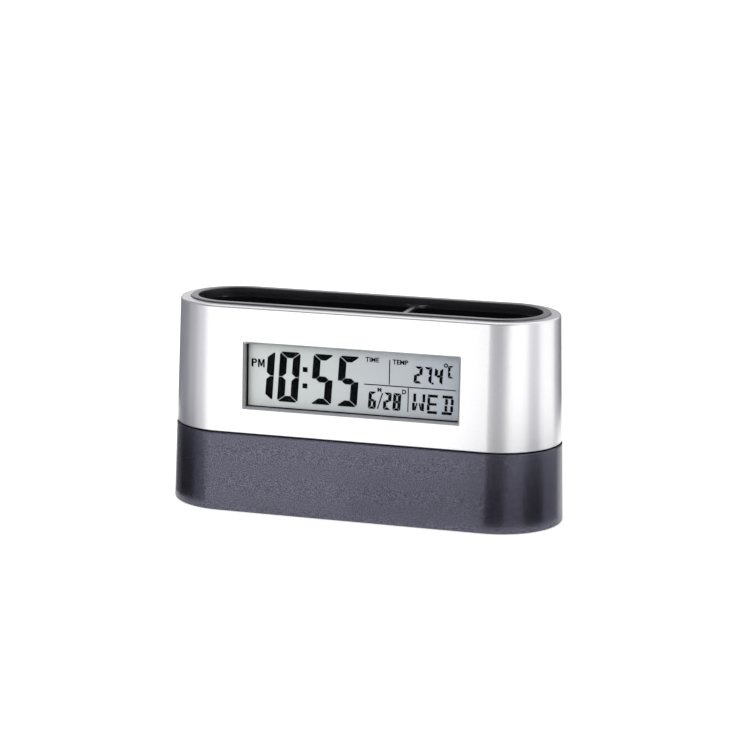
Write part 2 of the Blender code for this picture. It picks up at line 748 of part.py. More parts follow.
def display_module(finishes):
    at, turn = window_frame()
    frame = empty("display_module", at, turn)

    def slab(name, half_width, half_height, near, far, finish, edge=0.0):
        bm = bmesh.new()
        add_box(bm, (-half_width, near, -half_height), (half_width, far, half_height), edge)
        return place(name, mesh_of(bm), finish, parent=frame)

    slab(
        "window_lens",
        VIEW_WIDTH / 2 + LENS_MARGIN,
        VIEW_HEIGHT / 2 + LENS_MARGIN,
        LENS_FACE,
        LENS_FACE + LENS_THICK,
        finishes["clear"],
    )

    pocket_x = GLASS_WIDTH / 2 + SEAT
    pocket_z = GLASS_HEIGHT / 2 + SEAT
    holder = slab(
        "display_holder",
        pocket_x + FRAME_WALL,
        pocket_z + FRAME_WALL,
        FRAME_FACE,
        BOARD_FACE - SEAT,
        finishes["black"],
    )
    cut = bmesh.new()
    add_box(cut, (-pocket_x, GLASS_FACE - SEAT, -pocket_z), (pocket_x, BOARD_BACK, pocket_z))
    combine(holder, cut, "holder_pocket", "DIFFERENCE", at, turn)
    view = bmesh.new()
    add_box(
        view,
        (-VIEW_WIDTH / 2, 0, -VIEW_HEIGHT / 2),
        (VIEW_WIDTH / 2, BOARD_BACK, VIEW_HEIGHT / 2),
    )
    combine(holder, view, "holder_view", "DIFFERENCE", at, turn)

    slab("display_glass", GLASS_WIDTH / 2, GLASS_HEIGHT / 2, GLASS_FACE, GLASS_BACK, finishes["display"])
    slab(
        "display_reflector",
        GLASS_WIDTH / 2 - FRAME_WALL,
        VIEW_HEIGHT / 2 - SEAT,
        GLASS_BACK + SEAT,
        GLASS_BACK + SEAT + REFLECTOR_THICK,
        finishes["reflector"],
    )
    zebra_z = GLASS_HEIGHT / 2 - ZEBRA_HEIGHT / 2
    for name, side in (("upper_rubber_connector", 1), ("lower_rubber_connector", -1)):
        bm = bmesh.new()
        add_box(
            bm,
            (-ZEBRA_LENGTH / 2, GLASS_BACK + SEAT, side * zebra_z - ZEBRA_HEIGHT / 2),
            (ZEBRA_LENGTH / 2, GLASS_BACK + SEAT + ZEBRA_DEPTH, side * zebra_z + ZEBRA_HEIGHT / 2),
        )
        place(name, mesh_of(bm), finishes["connector"], parent=frame)

    board = slab("clock_board", BOARD_WIDTH / 2, BOARD_HEIGHT / 2, BOARD_FACE, BOARD_BACK, finishes["board"])
    holes = bmesh.new()
    for x, z in post_places():
        hole = BOARD_SCREW_RADIUS + RUNNING
        add_cylinder(holes, hole, (x, BOARD_FACE - SEAT, z), (x, BOARD_BACK + SEAT, z), 12)
    combine(board, holes, "clock_board_holes", "DIFFERENCE", at, turn)

    for number, (x, z) in enumerate(post_places(), 1):
        screw = small_screw(f"board_screw_{number}", finishes["steel"])
        screw.parent = frame
        screw.location = (x, BOARD_BACK + SOLDER, z)
        screw.rotation_euler = (math.radians(90), 0, 0)

    bm = bmesh.new()
    chip_back = BOARD_BACK + SOLDER
    chip_top = (CHIP_X, chip_back + CHIP_THICK, 0)
    add_cylinder(bm, CHIP_RADIUS, (CHIP_X, chip_back, 0), chip_top, 20, CHIP_RADIUS * 0.6)
    place("chip_blob", mesh_of(bm), finishes["black"], parent=frame)

    bm = bmesh.new()
    crystal_y = BOARD_BACK + SOLDER + CRYSTAL_RADIUS
    crystal_end = (CRYSTAL_X + CRYSTAL_LENGTH, crystal_y, 0)
    add_cylinder(bm, CRYSTAL_RADIUS, (CRYSTAL_X, crystal_y, 0), crystal_end, 12)
    place("quartz_crystal", mesh_of(bm), finishes["steel"], parent=frame)

    bm = bmesh.new()
    bmesh.ops.create_uvsphere(bm, u_segments=10, v_segments=6, radius=SENSOR_RADIUS)
    sensor_y = BOARD_BACK + SOLDER + SENSOR_RADIUS
    place("temperature_sensor", mesh_of(bm), finishes["black"], (SENSOR_X, sensor_y, 0), parent=frame)


def small_screw(name, finish):
    """A board screw pointing along +Z from under its head, which lies below the origin."""
    bm = bmesh.new()
    add_cylinder(bm, BOARD_SCREW_HEAD_RADIUS, (0, 0, -BOARD_SCREW_HEAD_THICK), (0, 0, 0), 14)
    body = place(name, mesh_of(bm), finish)
    shank = bmesh.new()
    root = (0, 0, -BOARD_SCREW_HEAD_THICK / 2)
    add_cylinder(shank, BOARD_SCREW_RADIUS, root, (0, 0, BOARD_SCREW_LENGTH), 10)
    tool = combine(body, shank, name + "_shank", "UNION")
    tool.parent = body
    return body


# Keys: five caps in the back wall, each over its own switch on the key board.


def keys(finishes):
    wall = case_half_depth(KEY_Z)
    cap_face = wall + KEY_PROUD
    flange_face = wall - BASE_WALL - SEAT - lean_over(KEY_HEIGHT)
    flange_back = flange_face - KEY_FLANGE_THICK
    switch_face = KEY_BOARD_FACE_Y + SOLDER + SWITCH_DEPTH
    plunger_face = switch_face + PLUNGER_PROUD

    bm = bmesh.new()
    half_height = KEY_BOARD_HEIGHT / 2
    add_box(
        bm,
        (-KEY_BOARD_LENGTH / 2, KEY_BOARD_FACE_Y - KEY_BOARD_THICK, KEY_Z - half_height),
        (KEY_BOARD_LENGTH / 2, KEY_BOARD_FACE_Y, KEY_Z + half_height),
    )
    board = place("key_board", mesh_of(bm), finishes["board"])
    holes = bmesh.new()
    for side in (-1, 1):
        x = side * KEY_POST_X
        add_cylinder(
            holes,
            BOARD_SCREW_RADIUS + RUNNING,
            (x, KEY_BOARD_FACE_Y - 2 * KEY_BOARD_THICK, KEY_Z),
            (x, KEY_BOARD_FACE_Y + KEY_BOARD_THICK, KEY_Z),
            12,
        )
    combine(board, holes, "key_board_holes", "DIFFERENCE")
    for number, side in ((1, -1), (2, 1)):
        screw = small_screw(f"key_board_screw_{number}", finishes["steel"])
        screw.location = (side * KEY_POST_X, KEY_BOARD_FACE_Y - KEY_BOARD_THICK - SOLDER, KEY_Z)
        screw.rotation_euler = (math.radians(-90), 0, 0)

    for name, x in key_places():
        axis = empty(name + "_key_axis", (x, cap_face, KEY_Z))
        bm = bmesh.new()
        half_length = KEY_LENGTH / 2
        half_tall = KEY_HEIGHT / 2
        rings = [
            pill_ring(half_length, half_tall, flange_face - SEAT - cap_face, 0, 0),
            pill_ring(half_length, half_tall, -EDGE_BREAK, 0, 0),
            pill_ring(half_length - EDGE_BREAK, half_tall - EDGE_BREAK, 0, 0, 0),
        ]
        add_loft(bm, rings)
        cap = place(name + "_button", mesh_of(bm), finishes["key"], parent=axis)
        inner = bmesh.new()
        grown = KEY_FLANGE_EDGE
        add_loft(
            inner,
            [
                pill_ring(KEY_LENGTH / 2 + grown, KEY_HEIGHT / 2 + grown, y - cap_face, 0, 0)
                for y in (flange_back, flange_face)
            ],
        )
        tool = combine(cap, inner, name + "_button_flange", "UNION")
        tool.parent = axis
        stem = bmesh.new()
        stem_tip = plunger_face + SOLDER - cap_face
        stem_root = flange_back - cap_face + KEY_FLANGE_THICK / 2
        add_cylinder(stem, KEY_STEM_RADIUS, (0, stem_tip, 0), (0, stem_root, 0), 14)
        tool = combine(cap, stem, name + "_button_stem", "UNION")
        tool.parent = axis

        bm = bmesh.new()
        half = SWITCH_SIZE / 2
        add_box(
            bm,
            (x - half, KEY_BOARD_FACE_Y + SOLDER, KEY_Z - half),
            (x + half, switch_face, KEY_Z + half),
        )
        switch = place(name + "_switch", mesh_of(bm), finishes["switch"])
        well = bmesh.new()
        well_floor = switch_face - PLUNGER_SUNK - KEY_TRAVEL - RUNNING
        well_mouth = (x, switch_face + PLUNGER_PROUD, KEY_Z)
        add_cylinder(well, PLUNGER_RADIUS + RUNNING, (x, well_floor, KEY_Z), well_mouth, 16)
        combine(switch, well, name + "_switch_well", "DIFFERENCE")
        bm = bmesh.new()
        add_cylinder(
            bm,
            PLUNGER_RADIUS,
            (0, switch_face - PLUNGER_SUNK - cap_face, 0),
            (0, plunger_face - cap_face, 0),
            14,
        )
        place(name + "_plunger", mesh_of(bm), finishes["black"], parent=axis)


def lean_over(height):
    """How far the drafted wall moves over half of a height."""
    return height / 2 * math.tan(DRAFT)


# Power: two cells in the bay, their springs and contacts, and the hinged door below them.


def power(finishes):
    plate_outer = BAY_HALF_LENGTH - SEAT
    plate_inner = plate_outer - CONTACT_THICK
    nub_tip = plate_inner - SEAT
    cell_foot = nub_tip - CELL_LENGTH
    for number, side in ((1, 1), (2, -1)):
        y = side * CELL_SPACING / 2
        bm = bmesh.new()
        cell_top = (side * (nub_tip - NUB_LENGTH), y, CELL_Z)
        add_cylinder(bm, CELL_RADIUS, (side * cell_foot, y, CELL_Z), cell_top, 24)
        cell = place(f"battery_cell_{number}", mesh_of(bm), finishes["cell"])
        nub = bmesh.new()
        nub_root = (side * (nub_tip - 2 * NUB_LENGTH), y, CELL_Z)
        add_cylinder(nub, NUB_RADIUS, nub_root, (side * nub_tip, y, CELL_Z), 14)
        combine(cell, nub, f"battery_cell_{number}_nub", "UNION")

        start = -plate_inner + SEAT + SPRING_WIRE_RADIUS
        end = cell_foot - SEAT - SPRING_WIRE_RADIUS
        count = SPRING_TURNS * SPRING_POINTS_PER_TURN
        route = []
        for i in range(count + 1):
            share = i / count
            radius = SPRING_FOOT_RADIUS + share * (SPRING_TIP_RADIUS - SPRING_FOOT_RADIUS)
            angle = 2 * math.pi * SPRING_TURNS * share
            along = start + share * (end - start)
            route.append((side * along, y + radius * math.cos(angle), CELL_Z + radius * math.sin(angle)))
        tube(f"battery_spring_{number}", route, SPRING_WIRE_RADIUS, finishes["steel"], 1)
        gap = least_gap([Vector(p) for p in route], SPRING_WIRE_RADIUS, SPRING_POINTS_PER_TURN // 2)
        print(f"battery_spring_{number}: least gap between turns {gap * 1000:.2f} mm")

    half = CONTACT_SIZE / 2
    bm = bmesh.new()
    low_z = CELL_Z - half
    high_z = CELL_Z + half
    bridge_half = CELL_SPACING / 2 + half
    add_box(bm, (-plate_outer, -bridge_half, low_z), (-plate_inner, bridge_half, high_z))
    place("bridge_contact", mesh_of(bm), finishes["steel"])
    for name, side in (("positive_contact", 1), ("negative_contact", -1)):
        y = side * CELL_SPACING / 2
        bm = bmesh.new()
        add_box(bm, (plate_inner, y - half, low_z), (plate_outer, y + half, high_z))
        plate = place(name, mesh_of(bm), finishes["steel"])
        tab = bmesh.new()
        add_box(
            tab,
            (plate_inner, y - CONTACT_TAB / 2, CELL_Z),
            (plate_outer, y + CONTACT_TAB / 2, BAY_TOP + CONTACT_TAB_RISE),
        )
        combine(plate, tab, name + "_tab", "UNION")


def battery_door(finish):
    hinge = (0, -DOOR_WIDTH / 2, BASE_BOTTOM)
    axis = empty("battery_door_hinge", hinge)
    bm = bmesh.new()
    add_box(bm, (-DOOR_LENGTH / 2, 0, 0), (DOOR_LENGTH / 2, DOOR_WIDTH, DOOR_THICK))
    door = place("battery_door", mesh_of(bm), finish, parent=axis)
    tabs = bmesh.new()
    tab_foot = FLOOR_THICK + RUNNING
    for side in (-1, 1):
        x = side * DOOR_TAB_X
        half = DOOR_TAB_WIDTH / 2
        ring = [
            (RUNNING, DOOR_THICK / 2),
            (RUNNING + DOOR_THICK, DOOR_THICK / 2),
            (RUNNING + DOOR_THICK, tab_foot + DOOR_TAB_THICK),
            (-DOOR_TAB_REACH, tab_foot + DOOR_TAB_THICK),
            (-DOOR_TAB_REACH, tab_foot),
            (RUNNING, tab_foot),
        ]
        add_loft(tabs, [[Vector((x + s * half, y, z)) for y, z in ring] for s in (-1, 1)])
    latch_y = DOOR_WIDTH - DOOR_LATCH_THICK - RUNNING
    add_box(
        tabs,
        (-DOOR_LATCH_WIDTH / 2, latch_y, DOOR_THICK / 2),
        (DOOR_LATCH_WIDTH / 2, latch_y + DOOR_LATCH_THICK, FLOOR_THICK + DOOR_LATCH_HEIGHT - RUNNING),
    )
    tool = combine(door, tabs, "battery_door_tabs", "UNION")
    tool.parent = axis
    grips = bmesh.new()
    groove = DOOR_GRIP_PITCH / 2
    for i in range(DOOR_GRIP_COUNT):
        y = DOOR_WIDTH - 2 * DOOR_LATCH_THICK - (i + 1) * DOOR_GRIP_PITCH
        low = (-DOOR_LATCH_WIDTH, y - groove / 2, -groove)
        add_box(grips, low, (DOOR_LATCH_WIDTH, y + groove / 2, groove / 2))
    tool = combine(door, grips, "battery_door_grips", "DIFFERENCE")
    tool.parent = axis


# Fasteners, feet, sounder and leads.


def case_screws(finish):
    ledge = LIP_TOP + SEAT - TOWER_TOP_THICK
    head_top = ledge - SOLDER
    for number, (x, y) in enumerate(tower_places(), 1):
        bm = bmesh.new()
        add_cylinder(bm, SCREW_HEAD_RADIUS, (0, 0, -SCREW_HEAD_THICK), (0, 0, 0), 20)
        screw = place(f"case_screw_{number}", mesh_of(bm), finish, (x, y, head_top))
        shank = bmesh.new()
        add_cylinder(shank, SCREW_RADIUS, (0, 0, -SCREW_HEAD_THICK / 2), (0, 0, SCREW_LENGTH), 14)
        tool = combine(screw, shank, f"case_screw_{number}_shank", "UNION")
        tool.parent = screw
        cross = bmesh.new()
        reach = SCREW_HEAD_RADIUS * 0.6
        half = SCREW_SLOT_WIDTH / 2
        low = -SCREW_HEAD_THICK - SCREW_SLOT_DEPTH
        high = -SCREW_HEAD_THICK + SCREW_SLOT_DEPTH
        arm = [(half, half), (half, reach), (-half, reach)]
        outline = []
        for quarter in range(4):
            turn = Matrix.Rotation(quarter * math.pi / 2, 2)
            outline += [tuple(turn @ Vector(point)) for point in arm]
        add_loft(cross, [[Vector((px, py, z)) for px, py in outline] for z in (low, high)])
        tool = combine(screw, cross, f"case_screw_{number}_cross", "DIFFERENCE")
        tool.parent = screw


def rubber_feet(finish):
    for number, (x, y) in enumerate(foot_places(), 1):
        bm = bmesh.new()
        soft_edge = 2 * EDGE_BREAK
        rings = []
        turned = ((FOOT_RADIUS - soft_edge, 0), (FOOT_RADIUS, soft_edge), (FOOT_RADIUS, FOOT_THICK))
        for radius, z in turned:
            steps = [2 * math.pi * i / 24 for i in range(24)]
            rings.append([Vector((radius * math.cos(a), radius * math.sin(a), z)) for a in steps])
        add_loft(bm, rings)
        place(f"rubber_foot_{number}", mesh_of(bm), finish, (x, y, 0))


def buzzer(finish):
    bm = bmesh.new()
    seat = FLOOR_TOP + BUZZER_SEAT_HEIGHT + SOLDER
    add_cylinder(bm, BUZZER_RADIUS, (0, 0, 0), (0, 0, BUZZER_THICK), 28)
    place("buzzer_disc", mesh_of(bm), finish, (BUZZER_X, 0, seat))


def leads(finishes):
    board_foot_z = WINDOW_CENTRE_Z - BOARD_HEIGHT / 2
    solder_z = board_foot_z + RIBBON_WIDTH / 4
    board_back_y = -sleeve_half_depth(solder_z) + BOARD_BACK / math.cos(DRAFT)
    under_tub = (BAY_TOP + TUB_FLOOR_Z - TUB_FLOOR_THICK) / 2
    gap_y = (board_back_y - POCKET_FRONT - TUB_WALL) / 2
    key_face = KEY_BOARD_FACE_Y - KEY_BOARD_THICK
    half = RIBBON_THICK / 2
    route = smooth_route(
        [
            (0, key_face - SOLDER - half, BAY_TOP + RIBBON_THICK),
            (0, key_face - 2 * half, BAY_TOP + 2 * RIBBON_THICK),
            (0, key_face - 5 * half, under_tub),
            (0, 0, under_tub + half),
            (0, gap_y + 7 * half, under_tub),
            (0, gap_y, under_tub + 6 * half),
            (0, gap_y, board_foot_z - RIBBON_WIDTH / 2),
            (0, board_back_y + half + SOLDER * 2, solder_z),
        ]
    )
    rings = []
    for i, point in enumerate(route):
        ahead = route[min(i + 1, len(route) - 1)] - route[max(i - 1, 0)]
        across = Vector((0, -ahead.z, ahead.y)).normalized() * half
        side = Vector((RIBBON_WIDTH / 2, 0, 0))
        middle = point + Vector((RIBBON_X, 0, 0))
        near = (middle - side - across, middle + side - across)
        rings.append([*near, middle + side + across, middle - side + across])
    bm = bmesh.new()
    add_loft(bm, rings)
    place("ribbon_cable", mesh_of(bm), finishes["ribbon"])

    tab_x = BAY_HALF_LENGTH - SEAT - CONTACT_THICK / 2
    start_z = BAY_TOP + CONTACT_TAB_RISE + SOLDER + WIRE_RADIUS
    for name, side, target_x in (("red_wire", 1, 0.8), ("black_wire", -1, 1.0)):
        end_x = tab_x * target_x
        wire_y = side * CELL_SPACING / 2
        route = smooth_route(
            [
                (tab_x, wire_y, start_z),
                ((tab_x + end_x) / 2, wire_y - CELL_RADIUS / 2, start_z + WIRE_RADIUS),
                (end_x, min(wire_y, 0) - CELL_RADIUS, under_tub),
                (end_x, gap_y, under_tub + 6 * WIRE_RADIUS),
                (end_x, gap_y, (under_tub + board_foot_z) / 2),
                (end_x, gap_y, board_foot_z),
                (end_x, board_back_y + WIRE_RADIUS + SOLDER * 2, solder_z),
            ],
            3,
        )
        tube(name, route, WIRE_RADIUS, finishes[name], 1)


def main():
    clear_scene()
    finishes = {
        "silver": material("silver_paint", (0.80, 0.80, 0.82), 0.32, 0.7),
        "base": material("dark_texture", (0.085, 0.085, 0.105), 0.45, 0.35),
        "tub": material("black_tub", (0.016, 0.016, 0.020), 0.38),
        "clear": material("clear_acrylic", (0.95, 0.97, 0.97), 0.05, 0.0, 0.25),
        "black": material("black_plastic", (0.012, 0.012, 0.014), 0.5),
        "display": material("display_glass", (0.53, 0.60, 0.57), 0.18),
        "reflector": material("foil", (0.75, 0.78, 0.76), 0.3, 0.8),
        "connector": material("rubber_connector", (0.55, 0.45, 0.40), 0.7),
        "board": material("board_green", (0.02, 0.16, 0.07), 0.5),
        "steel": material("plated_steel", (0.62, 0.62, 0.62), 0.28, 1.0),
        "key": material("key_silver", (0.58, 0.58, 0.60), 0.35, 0.5),
        "switch": material("switch_body", (0.05, 0.05, 0.055), 0.4, 0.2),
        "cell": material("cell_wrap", (0.10, 0.12, 0.16), 0.3, 0.4),
        "rubber": material("foot_rubber", (0.03, 0.03, 0.03), 0.85),
        "buzzer": material("brass_disc", (0.72, 0.55, 0.25), 0.3, 1.0),
        "ribbon": material("ribbon_grey", (0.45, 0.45, 0.45), 0.5),
        "red_wire": material("red_insulation", (0.55, 0.03, 0.02), 0.5),
        "black_wire": material("black_insulation", (0.02, 0.02, 0.02), 0.5),
    }
    upper_casing(finishes["silver"])
    base_shell(finishes["base"])
    inner_tub(finishes["tub"])
    display_module(finishes)
    keys(finishes)
    power(finishes)
    battery_door(finishes["base"])
    case_screws(finishes["steel"])
    rubber_feet(finishes["rubber"])
    buzzer(finishes["buzzer"])
    leads(finishes)


main()
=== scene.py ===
import math

import bmesh
import bpy
from mathutils import Matrix, Vector


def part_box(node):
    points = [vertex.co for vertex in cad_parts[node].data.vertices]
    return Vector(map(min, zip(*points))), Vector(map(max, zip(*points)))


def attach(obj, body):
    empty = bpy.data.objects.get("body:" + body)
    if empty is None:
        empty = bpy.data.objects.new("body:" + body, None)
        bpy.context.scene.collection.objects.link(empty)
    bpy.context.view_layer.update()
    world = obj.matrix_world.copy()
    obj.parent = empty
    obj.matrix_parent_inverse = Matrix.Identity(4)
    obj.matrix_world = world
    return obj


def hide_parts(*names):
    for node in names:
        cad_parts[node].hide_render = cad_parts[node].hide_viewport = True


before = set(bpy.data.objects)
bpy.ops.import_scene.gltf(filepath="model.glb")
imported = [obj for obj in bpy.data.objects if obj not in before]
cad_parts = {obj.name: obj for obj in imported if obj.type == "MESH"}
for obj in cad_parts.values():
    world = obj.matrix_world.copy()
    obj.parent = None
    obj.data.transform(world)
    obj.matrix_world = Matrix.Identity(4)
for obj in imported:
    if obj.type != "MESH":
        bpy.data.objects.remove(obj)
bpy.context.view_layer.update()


# --------------------
# Base shell. The lower part of the case is one cup of metallic-grey ABS, injection moulded in a tool whose
# outer faces were spark eroded, which leaves a fine sparkling grain. A thin lip round its mouth centres the
# silver casing, a low skirt hides the feet, and four screws driven up through its towers hold it together.

CASE_RUN = 0.1082
CASE_RADIUS = 0.02615
CASE_LEAN = 0.03125
BASE_FOOT = 0.0010
SKIRT_FOOT = 0.0004
PARTING = 0.0319
LIP_TOP = 0.0356
LIP_INSET = 0.00294
LIP_THICK = 0.0012
BASE_WALL = 0.0025
BASE_FLOOR = 0.0035
BASE_EDGE = 0.0008
TOWERS = [(x, y) for x in (-0.0660, 0.0660) for y in (-0.0135, 0.0135)]
TOWER_RADIUS = 0.0042
WELL_RADIUS = 0.0027
SCREW_HOLE = 0.0016
POST_RADIUS = 0.0022
POST_BORE = 0.0010
IN_FLOOR = 0.0013
BAY_HALF = (0.0275, 0.0125)
BAY_WALL = 0.0015
BAY_TOP = 0.0157
FEET = [(x, y) for x in (-CASE_RUN / 2, CASE_RUN / 2) for y in (-0.0170, 0.0170)]
FOOT_RADIUS = 0.0050
FOOT_TALL = 0.0018
GLUE_GAP = 0.00015
SUPPORTS = (-0.0315, 0.0315)
BOARD_POSTS = (-0.0345, 0.0345)
SOUNDER_X = 0.0460
SOUND_HOLES = 6
SOUND_RING = 0.0042
DOOR_HALF = (0.0280, 0.0135)
DOOR_BACK = 0.0025
TABS = (-0.0160, 0.0160)
TAB_HALF = 0.0030
LATCH_HALF = 0.0045
LATCH_TOP = 0.0054
MOVING_GAP = 0.0003
KEY_PLACES = {"mode": 0.026, "set": 0.013, "up": 0.0, "down": -0.013, "alarm": -0.026}
KEY_RUN = 0.0040
KEY_RADIUS = 0.0025
KEY_Z = 0.0150


def deselect():
    """Nothing stays selected or in edit mode, so that the next operator only meets its own piece."""
    if bpy.context.object and bpy.context.object.mode == "EDIT":
        bpy.ops.object.mode_set(mode="OBJECT")
    bpy.ops.object.select_all(action="DESELECT")


def take(piece):
    """Selects one piece alone."""
    deselect()
    piece.select_set(True)
    bpy.context.view_layer.objects.active = piece


def shape(piece):
    """Opens a piece in edit mode with all of it selected."""
    take(piece)
    bpy.ops.object.mode_set(mode="EDIT")
    bpy.ops.mesh.select_all(action="SELECT")


def pick(kind, test):
    """In edit mode, selects the corners, edges or faces that pass a test of their middle and themselves."""
    bpy.ops.mesh.select_mode(type=kind)
    bpy.ops.mesh.select_all(action="DESELECT")
    mesh = bpy.context.object.data
    grid = bmesh.from_edit_mesh(mesh)
    for part in {"VERT": grid.verts, "EDGE": grid.edges, "FACE": grid.faces}[kind]:
        corners = [part] if kind == "VERT" else part.verts
        middle = sum((corner.co for corner in corners), Vector()) / len(corners)
        if test(middle, part):
            part.select_set(True)
    grid.select_flush_mode()
    bmesh.update_edit_mesh(mesh)


def face_outward():
    """In edit mode, turns every face of the piece outward."""
    bpy.ops.mesh.select_all(action="SELECT")
    bpy.ops.mesh.normals_make_consistent()


def open_edge(middle, edge):
    """A test for pick, which finds the edges round a hole."""
    return len(edge.link_faces) < 2


def settle(piece, name, at=(0, 0, 0), turn=(0, 0, 0)):
    """Names a piece and puts its place and turn into its mesh."""
    take(piece)
    piece.name = piece.data.name = name
    piece.location = at
    piece.rotation_euler = turn
    bpy.ops.object.transform_apply()
    return piece


def turned(profile, run=0, steps=128, ring=False, at=(0, 0, 0), turn=(0, 0, 0), name="tool"):
    """A circle extruded along a profile of (radius, height) and capped, or closed on itself for a ring.
    Its two halves are then pulled apart by run, which makes the case's long outline of it."""
    deselect()
    radius, height = profile[0]
    bpy.ops.mesh.primitive_circle_add(
        vertices=steps, radius=radius, location=(0, 0, height), rotation=(0, 0, math.pi / steps)
    )
    piece = bpy.context.object
    bpy.ops.object.transform_apply()
    shape(piece)
    for (old_radius, old_height), (radius, height) in zip(profile, profile[1:]):
        rise = (0, 0, height - old_height)
        bpy.ops.mesh.extrude_edges_move(TRANSFORM_OT_translate={"value": rise})
        share = radius / old_radius
        bpy.ops.transform.resize(value=(share, share, 1), center_override=(0, 0, height))
    if ring:
        pick("EDGE", open_edge)
        bpy.ops.mesh.bridge_edge_loops()
    else:
        bpy.ops.mesh.edge_face_add()
        pick("EDGE", open_edge)
        bpy.ops.mesh.edge_face_add()
    if run:
        for side in (-1, 1):
            pick("VERT", lambda middle, corner: middle.x * side > 0)
            bpy.ops.transform.translate(value=(side * run / 2, 0, 0))
    face_outward()
    return settle(piece, name, at, turn)


def block(low, high, edge=0, at=(0, 0, 0), turn=(0, 0, 0)):
    """A cube set between two corners, its edges bevelled."""
    deselect()
    low, high = Vector(low), Vector(high)
    bpy.ops.mesh.primitive_cube_add(size=1, location=(low + high) / 2)
    piece = bpy.context.object
    piece.scale = high - low
    bpy.ops.object.transform_apply()
    if edge:
        shape(piece)
        bpy.ops.mesh.bevel(offset=edge, segments=3, affect="EDGES")
    return settle(piece, "tool", at, turn)


def rod(radius, foot, top, steps=32):
    """A plain round tool standing on the point foot, up to the height top."""
    x, y, z = foot
    return turned([(radius, z), (radius, top)], steps=steps, at=(x, y, 0))


def backward(profile, x, steps, **more):
    """A turned piece that lies at the height of the keys and points out of the back."""
    return turned(profile, steps=steps, at=(x, 0, KEY_Z), turn=(-math.pi / 2, 0, 0), **more)


def joined(tools):
    """Several tools as one."""
    deselect()
    for tool in tools:
        tool.select_set(True)
    bpy.context.view_layer.objects.active = tools[0]
    bpy.ops.object.join()
    return bpy.context.object


def combine(piece, operation, tools):
    """Joins the tools to the piece or takes them from it. The tools are used up."""
    tool = joined(tools) if len(tools) > 1 else tools[0]
    work = piece.modifiers.new("work", "BOOLEAN")
    work.operation = operation
    work.solver = "EXACT"
    work.object = tool
    deselect()
    bpy.context.view_layer.objects.active = piece
    bpy.ops.object.modifier_apply(modifier="work")
    bpy.data.objects.remove(tool)


def add(piece, *tools):
    combine(piece, "UNION", tools)


def cut(piece, *tools):
    combine(piece, "DIFFERENCE", tools)


def smooth(piece, degrees=30):
    """Smooth shading up to the real edges, with the flat faces kept flat."""
    take(piece)
    bpy.ops.object.shade_smooth_by_angle(angle=math.radians(degrees))
    even = piece.modifiers.new("even", "WEIGHTED_NORMAL")
    even.keep_sharp = True
    bpy.ops.object.modifier_apply(modifier="even")


def round_edge(inset, height, radius, start, end, steps=4):
    """Points (inset, height) of a rounded edge about a centre. 0 degrees points out of the case, 90 up."""
    angles = [math.radians(start + (end - start) * i / steps) for i in range(steps + 1)]
    return [(inset - radius * math.cos(a), height + radius * math.sin(a)) for a in angles]


def wall(height):
    """How far the leaning outer wall of the case stands from its middle line at a height."""
    return CASE_RADIUS - (height - BASE_FOOT) * CASE_LEAN


def case_profile(points):
    """Turns (inset, height) into (radius, height) along the outer wall of the case."""
    return [(wall(height) - inset, height) for inset, height in points]


def srgb(code):
    """An sRGB hex colour as the linear colour that a shader takes."""
    shares = [int(code[i : i + 2], 16) / 255 for i in (1, 3, 5)]
    return [s / 12.92 if s <= 0.04045 else ((s + 0.055) / 1.055) ** 2.4 for s in shares] + [1.0]


def add_node(finish, kind, inputs=(), **settings):
    """Adds a shader node with its settings. Each input takes a value, or the output of another node."""
    node = finish.node_tree.nodes.new(f"ShaderNode{kind}")
    for name, value in settings.items():
        setattr(node, name, value)
    for socket, value in dict(inputs).items():
        if isinstance(value, bpy.types.NodeSocket):
            finish.node_tree.links.new(value, node.inputs[socket])
        else:
            node.inputs[socket].default_value = value
    return node


def new_finish(name, **constants):
    """A finish, with the values that are the same all over it set on its shader."""
    finish = bpy.data.materials.new(name)
    finish.use_nodes = True
    shader = finish.node_tree.nodes["Principled BSDF"]
    for socket, value in constants.items():
        shader.inputs[socket.replace("_", " ").title().replace("Ior", "IOR")].default_value = value
    return finish


def feed(finish, node, output, socket):
    """Links a node's output to the finish's shader."""
    shader = finish.node_tree.nodes["Principled BSDF"]
    finish.node_tree.links.new(node.outputs[output], shader.inputs[socket])


def grained(name, spacing, dark, light, contrast=(0.35, 0.65), bump=0, depth=0.00003, **constants):
    """A finish whose colour varies between two shades in grains of a real size, in relief too."""
    finish = new_finish(name, **constants)
    place = add_node(finish, "TexCoord").outputs["Object"]
    noise = add_node(
        finish,
        "TexNoise",
        {"Vector": place, "Scale": 1 / spacing, "Detail": 2, "Roughness": 0.6},
    )
    shades = add_node(finish, "ValToRGB", {"Fac": noise.outputs["Fac"]})
    for stop, position, colour in zip(shades.color_ramp.elements, contrast, (dark, light)):
        stop.position = position
        stop.color = srgb(colour)
    feed(finish, shades, "Color", "Base Color")
    if bump:
        relief = add_node(
            finish,
            "Bump",
            {"Height": noise.outputs["Fac"], "Strength": bump, "Distance": depth},
        )
        feed(finish, relief, "Normal", "Normal")
    return finish


def fit(piece, body, finish, slot, *nodes):
    """Gives a piece its finish and the body that it rides on, and hides the CAD nodes it stands for. The slot
    is not used.
    """
    piece.data.materials.clear()
    piece.data.materials.append(finish)
    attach(piece, body)
    if nodes:
        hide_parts(*nodes)


